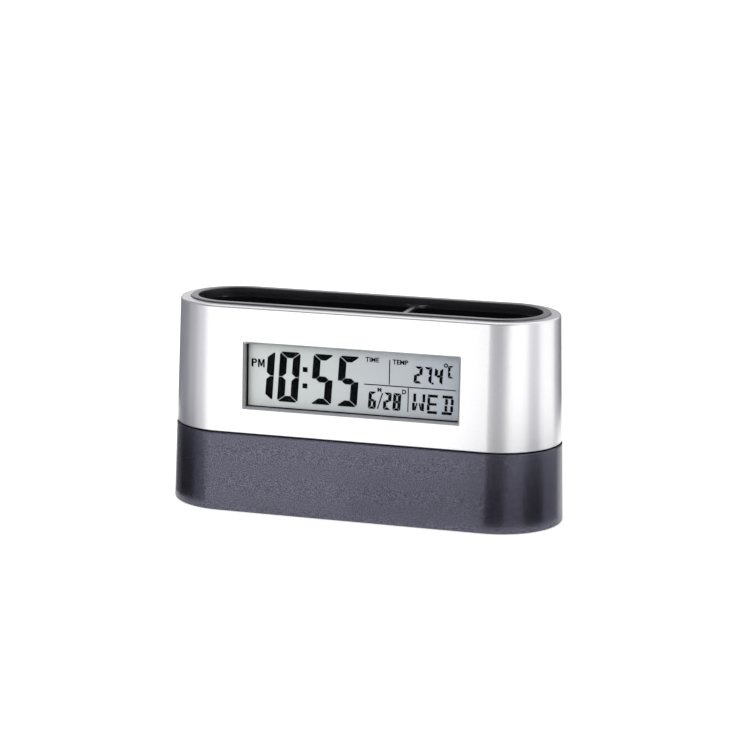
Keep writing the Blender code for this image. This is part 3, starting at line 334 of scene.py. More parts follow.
lip_inner = LIP_INSET + LIP_THICK
base_shell = turned(
    case_profile(
        [(BASE_WALL, BASE_FOOT), (BASE_WALL, SKIRT_FOOT + 0.0002), (BASE_WALL - 0.0002, SKIRT_FOOT)]
        + round_edge(0.0006, SKIRT_FOOT + 0.0006, 0.0006, -90, 0)
        + round_edge(0.0004, PARTING - 0.0004, 0.0004, 0, 90, 3)
        + [(LIP_INSET, PARTING), (LIP_INSET, LIP_TOP - 0.0003), (LIP_INSET + 0.0003, LIP_TOP)]
        + [(lip_inner - 0.0002, LIP_TOP), (lip_inner, LIP_TOP - 0.0002), (lip_inner, PARTING - LIP_THICK)]
        + [(BASE_WALL, PARTING - LIP_THICK - lip_inner + BASE_WALL), (BASE_WALL, BASE_FLOOR + BASE_EDGE)]
        + [(BASE_WALL + BASE_EDGE, BASE_FLOOR)]
    ),
    run=CASE_RUN,
    name="base_shell_moulding",
)
# Screw towers, two walls that carry the tub, the cells' bay and the sounder's ring.
bay_x, bay_y = BAY_HALF
add(
    base_shell,
    *[rod(TOWER_RADIUS, (x, y, BASE_FOOT + 0.0003), LIP_TOP + 0.0003) for x, y in TOWERS],
    *[block((x - 0.0010, -0.0057, IN_FLOOR), (x + 0.0010, 0.0123, 0.0217)) for x in SUPPORTS],
    block((-bay_x, -bay_y, IN_FLOOR), (bay_x, bay_y, BAY_TOP), 0.0004),
    rod(0.0098, (SOUNDER_X, 0, IN_FLOOR), 0.0050, 48),
)
# Two posts for the key board.
add(base_shell, *[backward([(POST_RADIUS, 0.0170), (POST_RADIUS, 0.0245)], x, 24) for x in BOARD_POSTS])
# Screw wells, seats for the feet and the sounder, the door's opening and the posts' bores.
hole_x, hole_y = (half + MOVING_GAP for half in DOOR_HALF)
cut(
    base_shell,
    *[
        turned([(0.0030, 0), (WELL_RADIUS, 0.0013), (WELL_RADIUS, 0.0334)], steps=32, at=(x, y, 0))
        for x, y in TOWERS
    ],
    *[rod(FOOT_RADIUS + GLUE_GAP, (x, y, 0), FOOT_TALL + GLUE_GAP, 48) for x, y in FEET],
    rod(0.0086, (SOUNDER_X, 0, BASE_FLOOR), 0.0065, 48),
    block((-hole_x, -hole_y, 0), (hole_x, hole_y, DOOR_BACK + MOVING_GAP)),
    *[backward([(POST_BORE, 0.0165), (POST_BORE, 0.0217)], x, 20) for x in BOARD_POSTS],
)
# Holes for the screws, the inside of the bay and the sound holes.
inner_x, inner_y = bay_x - BAY_WALL, bay_y - BAY_WALL
sound_angles = [2 * math.pi * i / SOUND_HOLES for i in range(SOUND_HOLES)]
cut(
    base_shell,
    *[rod(SCREW_HOLE, (x, y, 0.0309), 0.0362, 24) for x, y in TOWERS],
    block((-inner_x, -inner_y, BASE_FOOT), (inner_x, inner_y, BAY_TOP - BAY_WALL)),
    *[
        turned(
            [(0.0013, 0), (0.0009, 0.0014), (0.0009, 0.0050)],
            steps=20,
            at=(SOUNDER_X + SOUND_RING * math.cos(a), SOUND_RING * math.sin(a), 0),
        )
        for a in sound_angles
    ],
)
# Slots for the door's hinge tabs and its latch.
slots = [(x - TAB_HALF - MOVING_GAP, x + TAB_HALF + MOVING_GAP) for x in TABS]
latch_x = LATCH_HALF + MOVING_GAP
cut(
    base_shell,
    *[block((start, -0.0160, BASE_FLOOR), (end, -0.0095, 0.0065)) for start, end in slots],
    block((-latch_x, 0.0095, DOOR_BACK), (latch_x, hole_y, LATCH_TOP + MOVING_GAP)),
)
cut(base_shell, *[block((start, -hole_y, DOOR_BACK), (end, -0.0095, 0.0045)) for start, end in slots])
# Each key shows through a long hole with a broken outer edge.
hole = KEY_RADIUS + MOVING_GAP
key_hole = [(hole, 0.0200), (hole, 0.0254), (0.0036, 0.0262)]
cut(base_shell, *[backward(key_hole, x, 48, run=KEY_RUN) for x in KEY_PLACES.values()])
smooth(base_shell)

# Spark-eroded metallic ABS: dark grey with a sparkling grain of about 0.3 mm, drawn at 0.4 mm to show. Mostly
# metallic, because the plastic is filled with flake, and rough enough to blur what it mirrors.
eroded_abs = grained(
    "eroded_metallic_abs",
    0.0004,
    "#42414B",
    "#706F7F",
    bump=0.25,
    depth=0.00004,
    metallic=0.9,
    roughness=0.26,
)
fit(base_shell, "case", eroded_abs, "dark_texture", "base_shell")


# --------------------
# Key words. Small light-grey words over the keys name them. They are pad printed on the grain of the base's
# back wall.

WORD_Z = KEY_Z + 0.0045
WORD_SIZE = 0.0021
INK_THICK = 0.00003
WORD_REACH = wall(WORD_Z + WORD_SIZE / 3)
LEAN = math.atan(CASE_LEAN)
TOUCHING = 0.000001


def lettered(text, size, at, turn=(0, 0, 0), **settings):
    """A line of text as a mesh in its place."""
    deselect()
    bpy.ops.object.text_add(location=(0, 0, 0))
    line = bpy.context.object.data
    line.body = text
    line.size = size
    for name, value in settings.items():
        setattr(line, name, value)
    bpy.ops.object.convert(target="MESH")
    return settle(bpy.context.object, "word", at, turn)


def weld(piece):
    """Merges the points that a converted text or curve has twice."""
    shape(piece)
    bpy.ops.mesh.remove_doubles(threshold=TOUCHING)
    deselect()


words = [
    lettered(
        key.upper(),
        WORD_SIZE,
        (x, WORD_REACH, WORD_Z),
        (math.pi / 2 - LEAN, 0, math.pi),
        extrude=INK_THICK,
        align_x="CENTER",
    )
    for key, x in KEY_PLACES.items()
]
key_words = settle(joined(words), "key_words")
weld(key_words)

# Pad-printing ink: light grey, a little uneven where the grain shows through.
printing_ink = grained("pad_printing_ink", 0.0003, "#A9ABAE", "#C9CBCD", roughness=0.55)
fit(key_words, "case", printing_ink, "key_silver")


# --------------------
# Battery door. A thin plate of the same ABS closes the bay underneath. Two tabs hook under the floor and turn
# as its hinge, a springy latch holds the other side, and four grooves give the thumb a grip.

DOOR_FACE = 0.0010
NEAR = 0.0001
GRIPS = 4
GRIP_RADIUS = 0.00042
GRIP_STEP = 0.0016

door_x, door_y = DOOR_HALF
plate = block((-door_x, -door_y, DOOR_FACE), (door_x, door_y, DOOR_BACK))
shape(plate)
pick("EDGE", lambda middle, edge: abs(middle.x) > door_x - NEAR and abs(middle.y) > door_y - NEAR)
bpy.ops.mesh.bevel(offset=0.0016, segments=6, affect="EDGES")
pick("EDGE", lambda middle, edge: middle.z < DOOR_FACE + 0.00001)
bpy.ops.mesh.bevel(offset=0.0002, segments=2, affect="EDGES")
battery_door = settle(plate, "battery_door_plate")
# Each tab is an upright and a hook on it. The latch is a plain upright.
tabs = [(x - TAB_HALF, x + TAB_HALF) for x in TABS]
add(
    battery_door,
    *[block((start, -0.0132, 0.00175), (end, -0.0117, 0.0048), 0.0002) for start, end in tabs],
    block((-LATCH_HALF, 0.0122, 0.00175), (LATCH_HALF, 0.0132, LATCH_TOP), 0.0002),
)
add(battery_door, *[block((start, -0.0154, 0.0038), (end, -0.0118, 0.0048)) for start, end in tabs])
grips = [
    turned(
        [(GRIP_RADIUS, -0.009), (GRIP_RADIUS, 0.009)],
        steps=16,
        at=(0, 0.0099 - i * GRIP_STEP, 0.0009),
        turn=(0, math.pi / 2, 0),
    )
    for i in range(GRIPS)
]
cut(battery_door, *grips)
smooth(battery_door)
fit(battery_door, "door", eroded_abs, "dark_texture", "battery_door")


# --------------------
# Battery cells. Two AAA cells lie side by side, head to tail. Each is a steel can in a printed plastic film
# that is shrunk over its ends, with a bright cap at one end and a bare flat bottom at the other.

CELL_RADIUS = 0.00525
CELL_LENGTH = 0.0435
CELL_BAND = 0.0330
CELL_FOOT = 0.0195
CELL_Y = 0.0054
CELL_Z = 0.00845


def coat(piece, finish, test):
    """Gives the faces that pass a test another finish."""
    piece.data.materials.append(finish)
    shape(piece)
    pick("FACE", test)
    piece.active_material_index = len(piece.data.materials) - 1
    bpy.ops.object.material_slot_assign()
    deselect()


# Printed shrink film: glossy clear film over a dark print and a copper-coloured band.
dark_film, copper_film = [
    grained(name, 0.003, dark, light, bump=0.05, metallic=metallic, roughness=roughness, coat_weight=0.4)
    for name, dark, light, metallic, roughness in (
        ("dark_shrink_film", "#171A20", "#252A33", 0.3, 0.26),
        ("copper_shrink_film", "#A9683A", "#C78B57", 0.7, 0.28),
    )
]
# Nickel-plated steel: bright and slightly brushed. The screws, springs and contacts share it.
plated_steel = grained(
    "nickel_plated_steel", 0.0006, "#A8A8A6", "#C4C4C0", bump=0.08, depth=0.00001, metallic=1.0, roughness=0.3
)

cell = turned(
    [(0.0044, 0), (0.0049, 0.0001), (0.00518, 0.0004), (CELL_RADIUS, 0.0008), (CELL_RADIUS, CELL_BAND)]
    + [(CELL_RADIUS, CELL_LENGTH - 0.0008), (0.0051, CELL_LENGTH - 0.0003), (0.0047, CELL_LENGTH)]
    + [(0.0042, CELL_LENGTH - 0.0002), (0.0041, CELL_LENGTH - 0.0005), (0.0022, CELL_LENGTH - 0.0005)]
    + [(0.0019, CELL_LENGTH - 0.0003), (0.0019, CELL_LENGTH + 0.0008), (0.0016, CELL_LENGTH + 0.0010)],
    steps=48,
    name="battery_cell_can",
)
cell.data.materials.append(dark_film)
coat(cell, copper_film, lambda middle, face: CELL_BAND < middle.z < CELL_LENGTH - 0.00005)
coat(
    cell,
    plated_steel,
    lambda middle, face: middle.z < 0.00002 or middle.xy.length < 0.0041 and middle.z > CELL_BAND,
)
smooth(cell)
other_cell = cell.copy()
other_cell.data = cell.data.copy()
bpy.context.collection.objects.link(other_cell)
settle(cell, "battery_cell_back", (-CELL_FOOT, CELL_Y, CELL_Z), (0, math.pi / 2, 0))
settle(other_cell, "battery_cell_front", (CELL_FOOT, -CELL_Y, CELL_Z), (0, -math.pi / 2, 0))
for piece, node in ((cell, "battery_cell_1"), (other_cell, "battery_cell_2")):
    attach(piece, "case")
    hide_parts(node)


# --------------------
# Springs and contacts. Each cell is pushed by a cone-shaped spring, wound from nickel-plated steel wire, and
# touches a flat plated contact at its other end. The contacts are pressed from sheet and slide into the bay.

WIRE_RADIUS = 0.00035
COIL_WIDE = 0.0032
COIL_NARROW = 0.0022
COIL_TURNS = 3
COIL_STEPS = 144


def drawn(curve, name, at=(0, 0, 0), turn=(0, 0, 0)):
    """A curve made a mesh in its place."""
    piece = bpy.data.objects.new(name, curve)
    bpy.context.collection.objects.link(piece)
    take(piece)
    bpy.ops.object.convert(target="MESH")
    return settle(bpy.context.object, name, at, turn)


for number, side in ((1, 1), (2, -1)):
    low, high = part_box(f"battery_spring_{number}")
    start, end = sorted((low.x, high.x), key=abs, reverse=True)
    start -= math.copysign(WIRE_RADIUS, start)
    end += math.copysign(WIRE_RADIUS, end)
    wire = bpy.data.curves.new("spring", "CURVE")
    wire.dimensions = "3D"
    wire.bevel_depth = WIRE_RADIUS
    wire.bevel_resolution = 4
    wire.use_fill_caps = True
    coil = wire.splines.new("POLY")
    coil.points.add(COIL_STEPS)
    for i, point in enumerate(coil.points):
        share = i / COIL_STEPS
        radius = COIL_WIDE + (COIL_NARROW - COIL_WIDE) * share
        angle = 2 * math.pi * COIL_TURNS * share
        y = side * CELL_Y + radius * math.cos(angle)
        point.co = (start + (end - start) * share, y, CELL_Z + radius * math.sin(angle), 1)
    spring = drawn(wire, f"cell_spring_{number}")
    weld(spring)
    smooth(spring, 60)
    fit(spring, "case", plated_steel, "plated_steel", f"battery_spring_{number}")


def keep(finish, *nodes):
    """Gives CAD nodes that are shown as they are a finish."""
    for node in nodes:
        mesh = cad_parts[node].data
        mesh.materials.clear()
        mesh.materials.append(finish)


keep(plated_steel, "bridge_contact", "positive_contact", "negative_contact")


# --------------------
# Key board. A small green circuit board is screwed to two posts in the base and carries five tact switches:
# a black moulded body with a steel cover, and a black plunger that the key's stem pushes in.

# Solder-masked board: green lacquer, with the copper's relief showing as slightly lighter lines.
green_board = new_finish("solder_masked_board", roughness=0.38, ior=1.5)
place = add_node(green_board, "TexCoord").outputs["Object"]
tracks = add_node(
    green_board,
    "TexBrick",
    {"Vector": place, "Scale": 1, "Brick Width": 0.006, "Row Height": 0.0022}
    | {"Color1": srgb("#12502C"), "Color2": srgb("#185C34"), "Mortar": srgb("#2A7A48")}
    | {"Mortar Size": 0.0002},
    offset=0.35,
)
feed(green_board, tracks, "Color", "Base Color")
keep(green_board, "key_board", "clock_board")
# Glass-filled nylon: matt black, with a faint grain.
black_nylon = grained("glass_filled_nylon", 0.0008, "#131315", "#1E1E21", bump=0.1, roughness=0.5)
keep(black_nylon, *[f"{key}_switch" for key in KEY_PLACES], *[f"{key}_plunger" for key in KEY_PLACES])
keep(plated_steel, "key_board_screw_1", "key_board_screw_2")


# --------------------
# Keys. Five long caps of satin silver ABS slide in the back wall. A flange inside keeps each from falling
# out, and a stem behind it reaches its switch.

KEY_FACE = 0.02611
STEM_RADIUS = 0.0018

# Satin silver ABS: moulded in colour with fine flake, so it is only partly metallic.
silver_abs = grained(
    "satin_silver_abs", 0.0005, "#B2B3B8", "#C3C4C8", bump=0.06, metallic=0.5, roughness=0.36
)
for key, x in KEY_PLACES.items():
    cap = backward(
        [(0.0037, 0.02203), (0.0037, 0.02283), (KEY_RADIUS, 0.02283), (KEY_RADIUS, KEY_FACE - 0.0006)]
        + [(0.00243, KEY_FACE - 0.0003), (0.0022, KEY_FACE - 0.0001), (STEM_RADIUS, KEY_FACE)],
        x,
        48,
        run=KEY_RUN,
        name=f"{key}_key_cap",
    )
    add(cap, backward([(STEM_RADIUS, 0.02111), (STEM_RADIUS, 0.0224)], x, 24))
    smooth(cap)
    fit(cap, f"{key}_key", silver_abs, "key_silver", f"{key}_button")


# --------------------
# Upper casing. One ABS moulding with a rounded rim, sprayed with satin silver paint. A ledge under the rim
# carries the tub, four bosses take the case screws, and four posts behind the window take the clock board.

SLEEVE_STEP = 0.00024
SLEEVE_FOOT = 0.0324
RIM_TOP = 0.0830
RIM_WIDTH = 0.0039
RIM_ROUND = 0.0009
SLEEVE_WALL = 0.0024
BOSS_RADIUS = 0.0034
SCREW_BORE = 0.00145
LEDGE_TOP = 0.0804
LEDGE_FOOT = 0.0790
LEDGE_INSET = 0.0053
WINDOW_Z = 0.0557
WINDOW_Y = SLEEVE_STEP - wall(WINDOW_Z)
WINDOW_HALF = (0.04425, 0.01355)
WINDOW_CHAMFER = 0.00085
POSTS = [(x, z) for x in (-0.0500, 0.0500) for z in (-0.0125, 0.0125)]


def lofted(rings, steps=24, turn=(0, 0, 0), name="tool"):
    """Flat rounded rectangles one above another, joined by bridges and capped. Each ring gives its x range,
    its y range, its height, and how far the corners at its low and at its high x are rounded."""
    pieces = []
    for x_low, x_high, y_low, y_high, height, round_low, round_high in rings:
        deselect()
        middle = ((x_low + x_high) / 2, (y_low + y_high) / 2, height)
        bpy.ops.mesh.primitive_plane_add(size=1, location=middle)
        ring = bpy.context.object
        ring.scale = (x_high - x_low, y_high - y_low, 1)
        bpy.ops.object.transform_apply()
        shape(ring)
        for end, radius in ((x_low, round_low), (x_high, round_high)):
            pick("VERT", lambda middle, corner: abs(middle.x - end) < TOUCHING)
            bpy.ops.mesh.bevel(offset=radius, segments=steps, affect="VERTICES")
        pick("FACE", lambda middle, face: True)
        bpy.ops.mesh.delete(type="ONLY_FACE")
        pieces.append(ring)
        if len(pieces) == 1:
            continue
        pieces[0] = joined([pieces[0], ring])
        shape(pieces[0])
        pick("EDGE", open_edge)
        bpy.ops.mesh.bridge_edge_loops()
        if len(pieces) == 2:
            foot = rings[0][4]
            pick("EDGE", lambda middle, edge: open_edge(middle, edge) and abs(middle.z - foot) < TOUCHING)
            bpy.ops.mesh.edge_face_add()
    pick("EDGE", open_edge)
    bpy.ops.mesh.edge_face_add()
    face_outward()
    return settle(pieces[0], name, turn=turn)


INTO_CASE = (-math.pi / 2, 0, 0)


def behind_window(piece, name="tool"):
    """Leans a piece made at (x, depth behind the wall's face, height from the window's middle) into place."""
    return settle(piece, name, (0, WINDOW_Y, WINDOW_Z), (-LEAN, 0, 0))


def window_pins(radius, start, end, steps):
    """A round tool at each of the four posts, between two depths behind the wall's face."""
    for x, z in POSTS:
        pin = turned([(radius, start), (radius, end)], steps=steps, at=(x, 0, z), turn=INTO_CASE)
        yield behind_window(pin)


def window_cutter(half_width, half_height, depths, corner=0.0003):
    """A rounded rectangle that grows by some amount at each depth, as a tool that cuts into the wall."""
    rings = []
    for depth, grow in depths:
        wide, tall, round_by = half_width + grow, half_height + grow, corner + max(grow, 0)
        rings.append((-wide, wide, -tall, tall, depth, round_by, round_by))
    return lofted(rings, steps=4, turn=INTO_CASE)


sleeve_section = (
    [(0.0003, SLEEVE_FOOT), (0, SLEEVE_FOOT + 0.0003)]
    + round_edge(RIM_ROUND, RIM_TOP - RIM_ROUND, RIM_ROUND, 0, 90, 8)
    + round_edge(RIM_WIDTH - 0.0003, RIM_TOP - 0.0003, 0.0003, 90, 180, 3)
    + [(RIM_WIDTH, LEDGE_TOP), (LEDGE_INSET, LEDGE_TOP), (LEDGE_INSET, LEDGE_FOOT)]
    + [(SLEEVE_WALL, LEDGE_FOOT), (SLEEVE_WALL, SLEEVE_FOOT)]
)
upper_casing = turned(
    case_profile([(SLEEVE_STEP + inset, height) for inset, height in sleeve_section]),
    run=CASE_RUN,
    ring=True,
    name="upper_casing_moulding",
)
# Bosses for the case screws, ribs that tie them to the wall, and the clock board's posts.
add(upper_casing, *[rod(BOSS_RADIUS, (x, y, 0.0362), 0.0482) for x, y in TOWERS])
ribs = []
for x, y in TOWERS:
    away = math.atan2(y, x - math.copysign(CASE_RUN / 2, x))
    foot = (x + BOSS_RADIUS * math.cos(away), y + BOSS_RADIUS * math.sin(away), 0.0422)
    ribs.append(block((-0.0024, -0.0006, -0.0057), (0.0024, 0.0006, 0.0057), 0, foot, (0, 0, away)))
add(upper_casing, *ribs)
add(upper_casing, *window_pins(POST_RADIUS, 0.0012, 0.0094, 24))
# The window with its bevelled reveal, then the bores.
window_depths = ((-0.0017, 0.0017), (0, 0), (WINDOW_CHAMFER, -WINDOW_CHAMFER), (0.0050, -WINDOW_CHAMFER))
cut(upper_casing, behind_window(window_cutter(*WINDOW_HALF, window_depths)))
cut(
    upper_casing,
    *window_pins(POST_BORE, 0.0027, 0.0097, 20),
    *[rod(SCREW_BORE, (x, y, 0.0359), 0.0458, 24) for x, y in TOWERS],
)
smooth(upper_casing)

# Satin silver paint on ABS: aluminium flake in a clear lacquer, sprayed, so there is a fine flake and a very
# shallow orange peel. Real flake is 0.02 mm; it is drawn at 0.25 mm to show at all.
silver_paint = grained(
    "satin_silver_paint",
    0.00025,
    "#F0F0F2",
    "#FAFAFB",
    contrast=(0.3, 0.7),
    metallic=0.9,
    roughness=0.28,
    coat_weight=0.15,
)
place = add_node(silver_paint, "TexCoord").outputs["Object"]
peel = add_node(silver_paint, "TexNoise", {"Vector": place, "Scale": 1 / 0.0014, "Detail": 1})
relief = add_node(
    silver_paint,
    "Bump",
    {"Height": peel.outputs["Fac"], "Strength": 0.08, "Distance": 0.00002},
)
feed(silver_paint, relief, "Normal", "Normal")
fit(upper_casing, "case", silver_paint, "silver_paint", "upper_casing")

# Painted shade: the window's sill and cheeks get a darker grey than the paint, standing for the shade in the
# reveal. Its upper side keeps the silver paint, which throws light down onto the display.
reveal_painted_shade = grained("reveal_painted_shade_abs", 0.0005, "#7C7D82", "#88898E", bump=0.05, roughness=0.45, ior=1.53)
coat(
    upper_casing,
    reveal_painted_shade,
    lambda middle, face: abs(face.normal.y) < 0.8
    and face.normal.z > -0.5
    and abs(middle.x) < WINDOW_HALF[0] + NEAR
    and abs(middle.z - WINDOW_Z) < WINDOW_HALF[1] + NEAR
    and middle.y < WINDOW_Y + 0.0032,
)


# --------------------
# Inner tub. One black ABS moulding drops into the mouth until its collar rests on the casing's ledge, a
# little proud of the rim. Below the collar the walls slope in over a shoulder to two pockets, which a
# moulded divider parts.

COLLAR_TOP = 0.0836
COLLAR_FOOT = 0.0807
COLLAR_INSET = RIM_WIDTH + 0.0002
NECK_INSET = 0.0056
SHOULDER_TOP = 0.0796
SHOULDER_FOOT = 0.0750
DIVIDER_TOP = 0.0808
DIVIDER = (0.0144, 0.0166)
DIVIDER_COVE = 0.0045
COLLAR_WIDTH = 0.00315
MOUTH_REACH = wall(RIM_TOP) - SLEEVE_STEP - RIM_WIDTH - COLLAR_WIDTH
BACK_STEP = 0.0007
END_STEP = 0.0086
DISPLAY_ROOM = 0.0152
POCKET_FRONT = WINDOW_Y + DISPLAY_ROOM
POCKET_BACK = MOUTH_REACH - BACK_STEP
POCKET_END = CASE_RUN / 2 + MOUTH_REACH - END_STEP
POCKET_FLOOR = 0.0240
CUT_PAST = 0.00003
END_FLAT = 0.0002


def outline_ring(inset, height):
    """The casing's outline, moved in, as a ring for lofted."""
    reach = wall(height) - SLEEVE_STEP - inset
    half = CASE_RUN / 2 + reach
    return (-half, half, -reach, reach, height, reach - END_FLAT, reach - END_FLAT)


def pocket_ring(height, share, inset, low=None, high=None):
    """A pocket's outline: share 0 is the narrow pocket, 1 the mouth. low or high is a divider's face."""
    front = POCKET_FRONT + share * (-MOUTH_REACH - POCKET_FRONT) + inset
    back = POCKET_BACK + share * BACK_STEP - inset
    end = POCKET_END + share * END_STEP - inset
    radius = (back - front) / 2 - END_FLAT
    x_low, round_low = (low + inset, DIVIDER_COVE) if low else (-end, radius)
    x_high, round_high = (high - inset, DIVIDER_COVE) if high else (end, radius)
    return (x_low, x_high, front, back, height, round_low, round_high)


inner_tub = lofted(
    [
        pocket_ring(POCKET_FLOOR - 0.0020, 0, 0.0006),
        pocket_ring(POCKET_FLOOR - 0.0016, 0, 0),
        pocket_ring(POCKET_FLOOR - 0.0005, 0, -0.0009),
        pocket_ring(SHOULDER_FOOT - 0.00075, 0, -0.0015),
        outline_ring(NECK_INSET, SHOULDER_TOP - 0.0015),
        outline_ring(NECK_INSET, COLLAR_FOOT),
        outline_ring(COLLAR_INSET, COLLAR_FOOT),
        outline_ring(COLLAR_INSET, COLLAR_TOP - 0.0003),
        outline_ring(COLLAR_INSET + 0.0001, COLLAR_TOP - 0.0001),
        outline_ring(COLLAR_INSET + 0.0003, COLLAR_TOP),
    ],
    name="inner_tub_moulding",
)
cut(
    inner_tub,
    lofted(
        [
            pocket_ring(DIVIDER_TOP, 1, 0),
            pocket_ring(COLLAR_TOP - 0.0005, 1, 0),
            pocket_ring(COLLAR_TOP - 0.0002, 1, -0.0001),
            pocket_ring(COLLAR_TOP, 1, -0.0004),
            pocket_ring(COLLAR_TOP + 0.0010, 1, -0.0014),
        ]
    ),
)
# The pockets are cut a little past the mouth's wall. The last value is how far the divider's face steps back
# at that height, which rounds the divider's head.
pocket_levels = (
    (POCKET_FLOOR, 0, 0.0021, 0),
    (POCKET_FLOOR + 0.0004, 0, 0.0012, 0),
    (POCKET_FLOOR + 0.0015, 0, 0.0006, 0),
    (SHOULDER_FOOT, 0, 0, 0),
    (SHOULDER_FOOT + 0.0003, 0.05, 0, 0),
    (SHOULDER_TOP - 0.0003, 0.96, 0, 0),
    (SHOULDER_TOP, 1, -CUT_PAST, 0),
    (DIVIDER_TOP - 0.0004, 1, -CUT_PAST, 0),
    (DIVIDER_TOP - 0.0002, 1, -CUT_PAST, 0.00006),
    (DIVIDER_TOP - 0.00006, 1, -CUT_PAST, 0.0002),
    (DIVIDER_TOP, 1, -CUT_PAST, 0.0004),
    (DIVIDER_TOP + 0.0003, 1, -CUT_PAST, 0.0004),
)
cut(
    inner_tub,
    lofted([pocket_ring(*level, high=DIVIDER[0] + step) for *level, step in pocket_levels]),
    lofted([pocket_ring(*level, low=DIVIDER[1] - step) for *level, step in pocket_levels]),
)
smooth(inner_tub, 35)

# Black ABS from a satin tool: a soft shine, with a faint uneven grain.
black_abs = grained(
    "satin_black_abs",
    0.0006,
    "#131315",
    "#1D1D20",
    bump=0.12,
    roughness=0.35,
    specular_ior_level=0.8,
    coat_weight=1.0,
    coat_roughness=0.25,
    coat_ior=1.7,
)
fit(inner_tub, "case", black_abs, "black_tub", "inner_tub")

# Painted shade: from the shoulder down the pockets get a darker, matt black with almost no shine, standing
# for the shade deep in the tub.
pocket_painted_shade = grained(
    "pocket_painted_shade_abs",
    0.0006,
    "#060607",
    "#0D0D10",
    bump=0.2,
    depth=0.00004,
    roughness=0.7,
    specular_ior_level=0.02,
)
coat(inner_tub, pocket_painted_shade, lambda middle, face: middle.z < SHOULDER_TOP)


# --------------------
# Window lens. A clear acrylic sheet closes the window. It is cut with polished edges and bonded to the back
# of the casing's wall.

LENS_BACK = 0.0037


def slab(half_width, half_height, front, back, edge=0):
    """A sheet between two depths behind the wall's face."""
    return block((-half_width, front, -half_height), (half_width, back, half_height), edge)


lens = slab(0.0450, 0.0143, 0.0027, LENS_BACK, 0.00015)
lens = behind_window(lens, "window_lens_sheet")
smooth(lens)
# Cast acrylic: clear, so the finish only adds its surface shine and a trace of tint.
clear_acrylic = grained(
    "cast_clear_acrylic", 0.02, "#30383A", "#3C4446", roughness=0.04, ior=1.49, alpha=0.02
)
fit(lens, "case", clear_acrylic, "clear_acrylic", "window_lens")

# The lens's back carries a screen-printed black border that hides the holder's edge. Its inner edge shows as
# a thin dark line round the display, which also serves as painted shade for the shadow in the window's gap.
border = slab(0.0449, 0.0142, LENS_BACK, LENS_BACK + INK_THICK)
cut(border, slab(0.0431, 0.01245, 0.0030, 0.0045))
border = behind_window(border, "lens_border")
# Screen ink: dense black, with the faint unevenness of the mesh.
screen_ink = grained("black_screen_ink", 0.0005, "#0B0B0D", "#131316", roughness=0.5, specular_ior_level=0.2)
fit(border, "case", screen_ink, "black_plastic")


# --------------------
# Display holder. A black frame with an inward lip presses the display's edge towards the lens and keeps the
# rubber connectors in line with the board.

OPENING_HALF = (0.0434, 0.0127)

holder = slab(0.0473, 0.0167, 0.0040, 0.0094, 0.0002)
cut(holder, slab(0.0463, 0.0157, 0.0049, 0.0110))
cut(holder, window_cutter(*OPENING_HALF, ((0.0020, 0), (0.0110, 0))))
holder = behind_window(holder, "display_holder_frame")
smooth(holder)
fit(holder, "case", black_nylon, "black_plastic", "display_holder")


# --------------------
# Display. A liquid crystal cell of two glass sheets, the front one cut shorter to bare the contacts, over a
# silvered sheet that lights it from behind. Two striped rubber strips join its contacts to the clock board.

GLASS_FACE = 0.0052

display = slab(0.0460, 0.0154, GLASS_FACE, 0.0074, 0.0001)
shape(display)
pick("FACE", lambda middle, face: middle.y < GLASS_FACE + 0.00001)
bpy.ops.mesh.inset(thickness=0.0012, depth=0)
bpy.ops.transform.translate(value=(0, 0.00001, 0))
display = behind_window(display, "display_cell")
smooth(display)
# Reflective display: a matt polarising film over the liquid crystal, grey-green and lighter at the left end,
# cooler and darker towards the right.
polariser = new_finish("display_polariser", roughness=0.42, ior=1.5)
place = add_node(polariser, "TexCoord").outputs["Object"]
parts = add_node(polariser, "SeparateXYZ", {"Vector": place})
across = add_node(
    polariser,
    "MapRange",
    {"Value": parts.outputs["X"], "From Min": -OPENING_HALF[0], "From Max": OPENING_HALF[0]},
)
tints = add_node(polariser, "ValToRGB", {"Fac": across.outputs["Result"]})
for stop, colour in zip(tints.color_ramp.elements, ("#C7CCCA", "#9FA5AD")):
    stop.color = srgb(colour)
feed(polariser, tints, "Color", "Base Color")
film_grain = add_node(polariser, "TexNoise", {"Vector": place, "Scale": 1 / 0.0005, "Detail": 1})
relief = add_node(
    polariser,
    "Bump",
    {"Height": film_grain.outputs["Fac"], "Strength": 0.05, "Distance": 0.00001},
)
feed(polariser, relief, "Normal", "Normal")
fit(display, "case", polariser, "display_glass", "display_glass")

# Silvered sheet: aluminium on film, slightly wavy.
silvered_film = grained("silvered_film", 0.004, "#C4C8C6", "#D2D6D4", bump=0.05, metallic=0.9, roughness=0.3)
keep(silvered_film, "display_reflector")
# Elastomer connector: carbon-black layers in pink silicone, really 0.05 mm thick, drawn at 0.5 mm to show.
layered_silicone = new_finish("layered_silicone", roughness=0.6)
place = add_node(layered_silicone, "TexCoord").outputs["Object"]
layers = add_node(layered_silicone, "TexWave", {"Vector": place, "Scale": 2 * math.pi / 20 / 0.0005})
shades = add_node(layered_silicone, "ValToRGB", {"Fac": layers.outputs["Fac"]})
for stop, colour in zip(shades.color_ramp.elements, ("#2A2526", "#C9A79E")):
    stop.color = srgb(colour)
feed(layered_silicone, shades, "Color", "Base Color")
keep(layered_silicone, "upper_rubber_connector", "lower_rubber_connector")


# --------------------
# Display segments. The liquid crystal darkens in printed shapes: the time in big segmented numbers, the
# temperature, the date and the weekday in small ones, and fixed words and rules between them.

SEGMENT_DEPTH = GLASS_FACE - 0.00004
SEGMENT_THICK = 0.00002


def flat_curve(name):
    """A flat curve, empty as yet, that fills what its outlines enclose."""
    flat = bpy.data.curves.new(name, "CURVE")
    flat.dimensions = "2D"
    flat.fill_mode = "BOTH"
    return flat


def outline(flat, points):
    """Adds one closed outline to a flat curve."""
    line = flat.splines.new("POLY")
    line.points.add(len(points) - 1)
    line.use_cyclic_u = True
    for corner, (x, y) in zip(line.points, points):
        corner.co = (x, y, 0, 1)


art = flat_curve("segments")


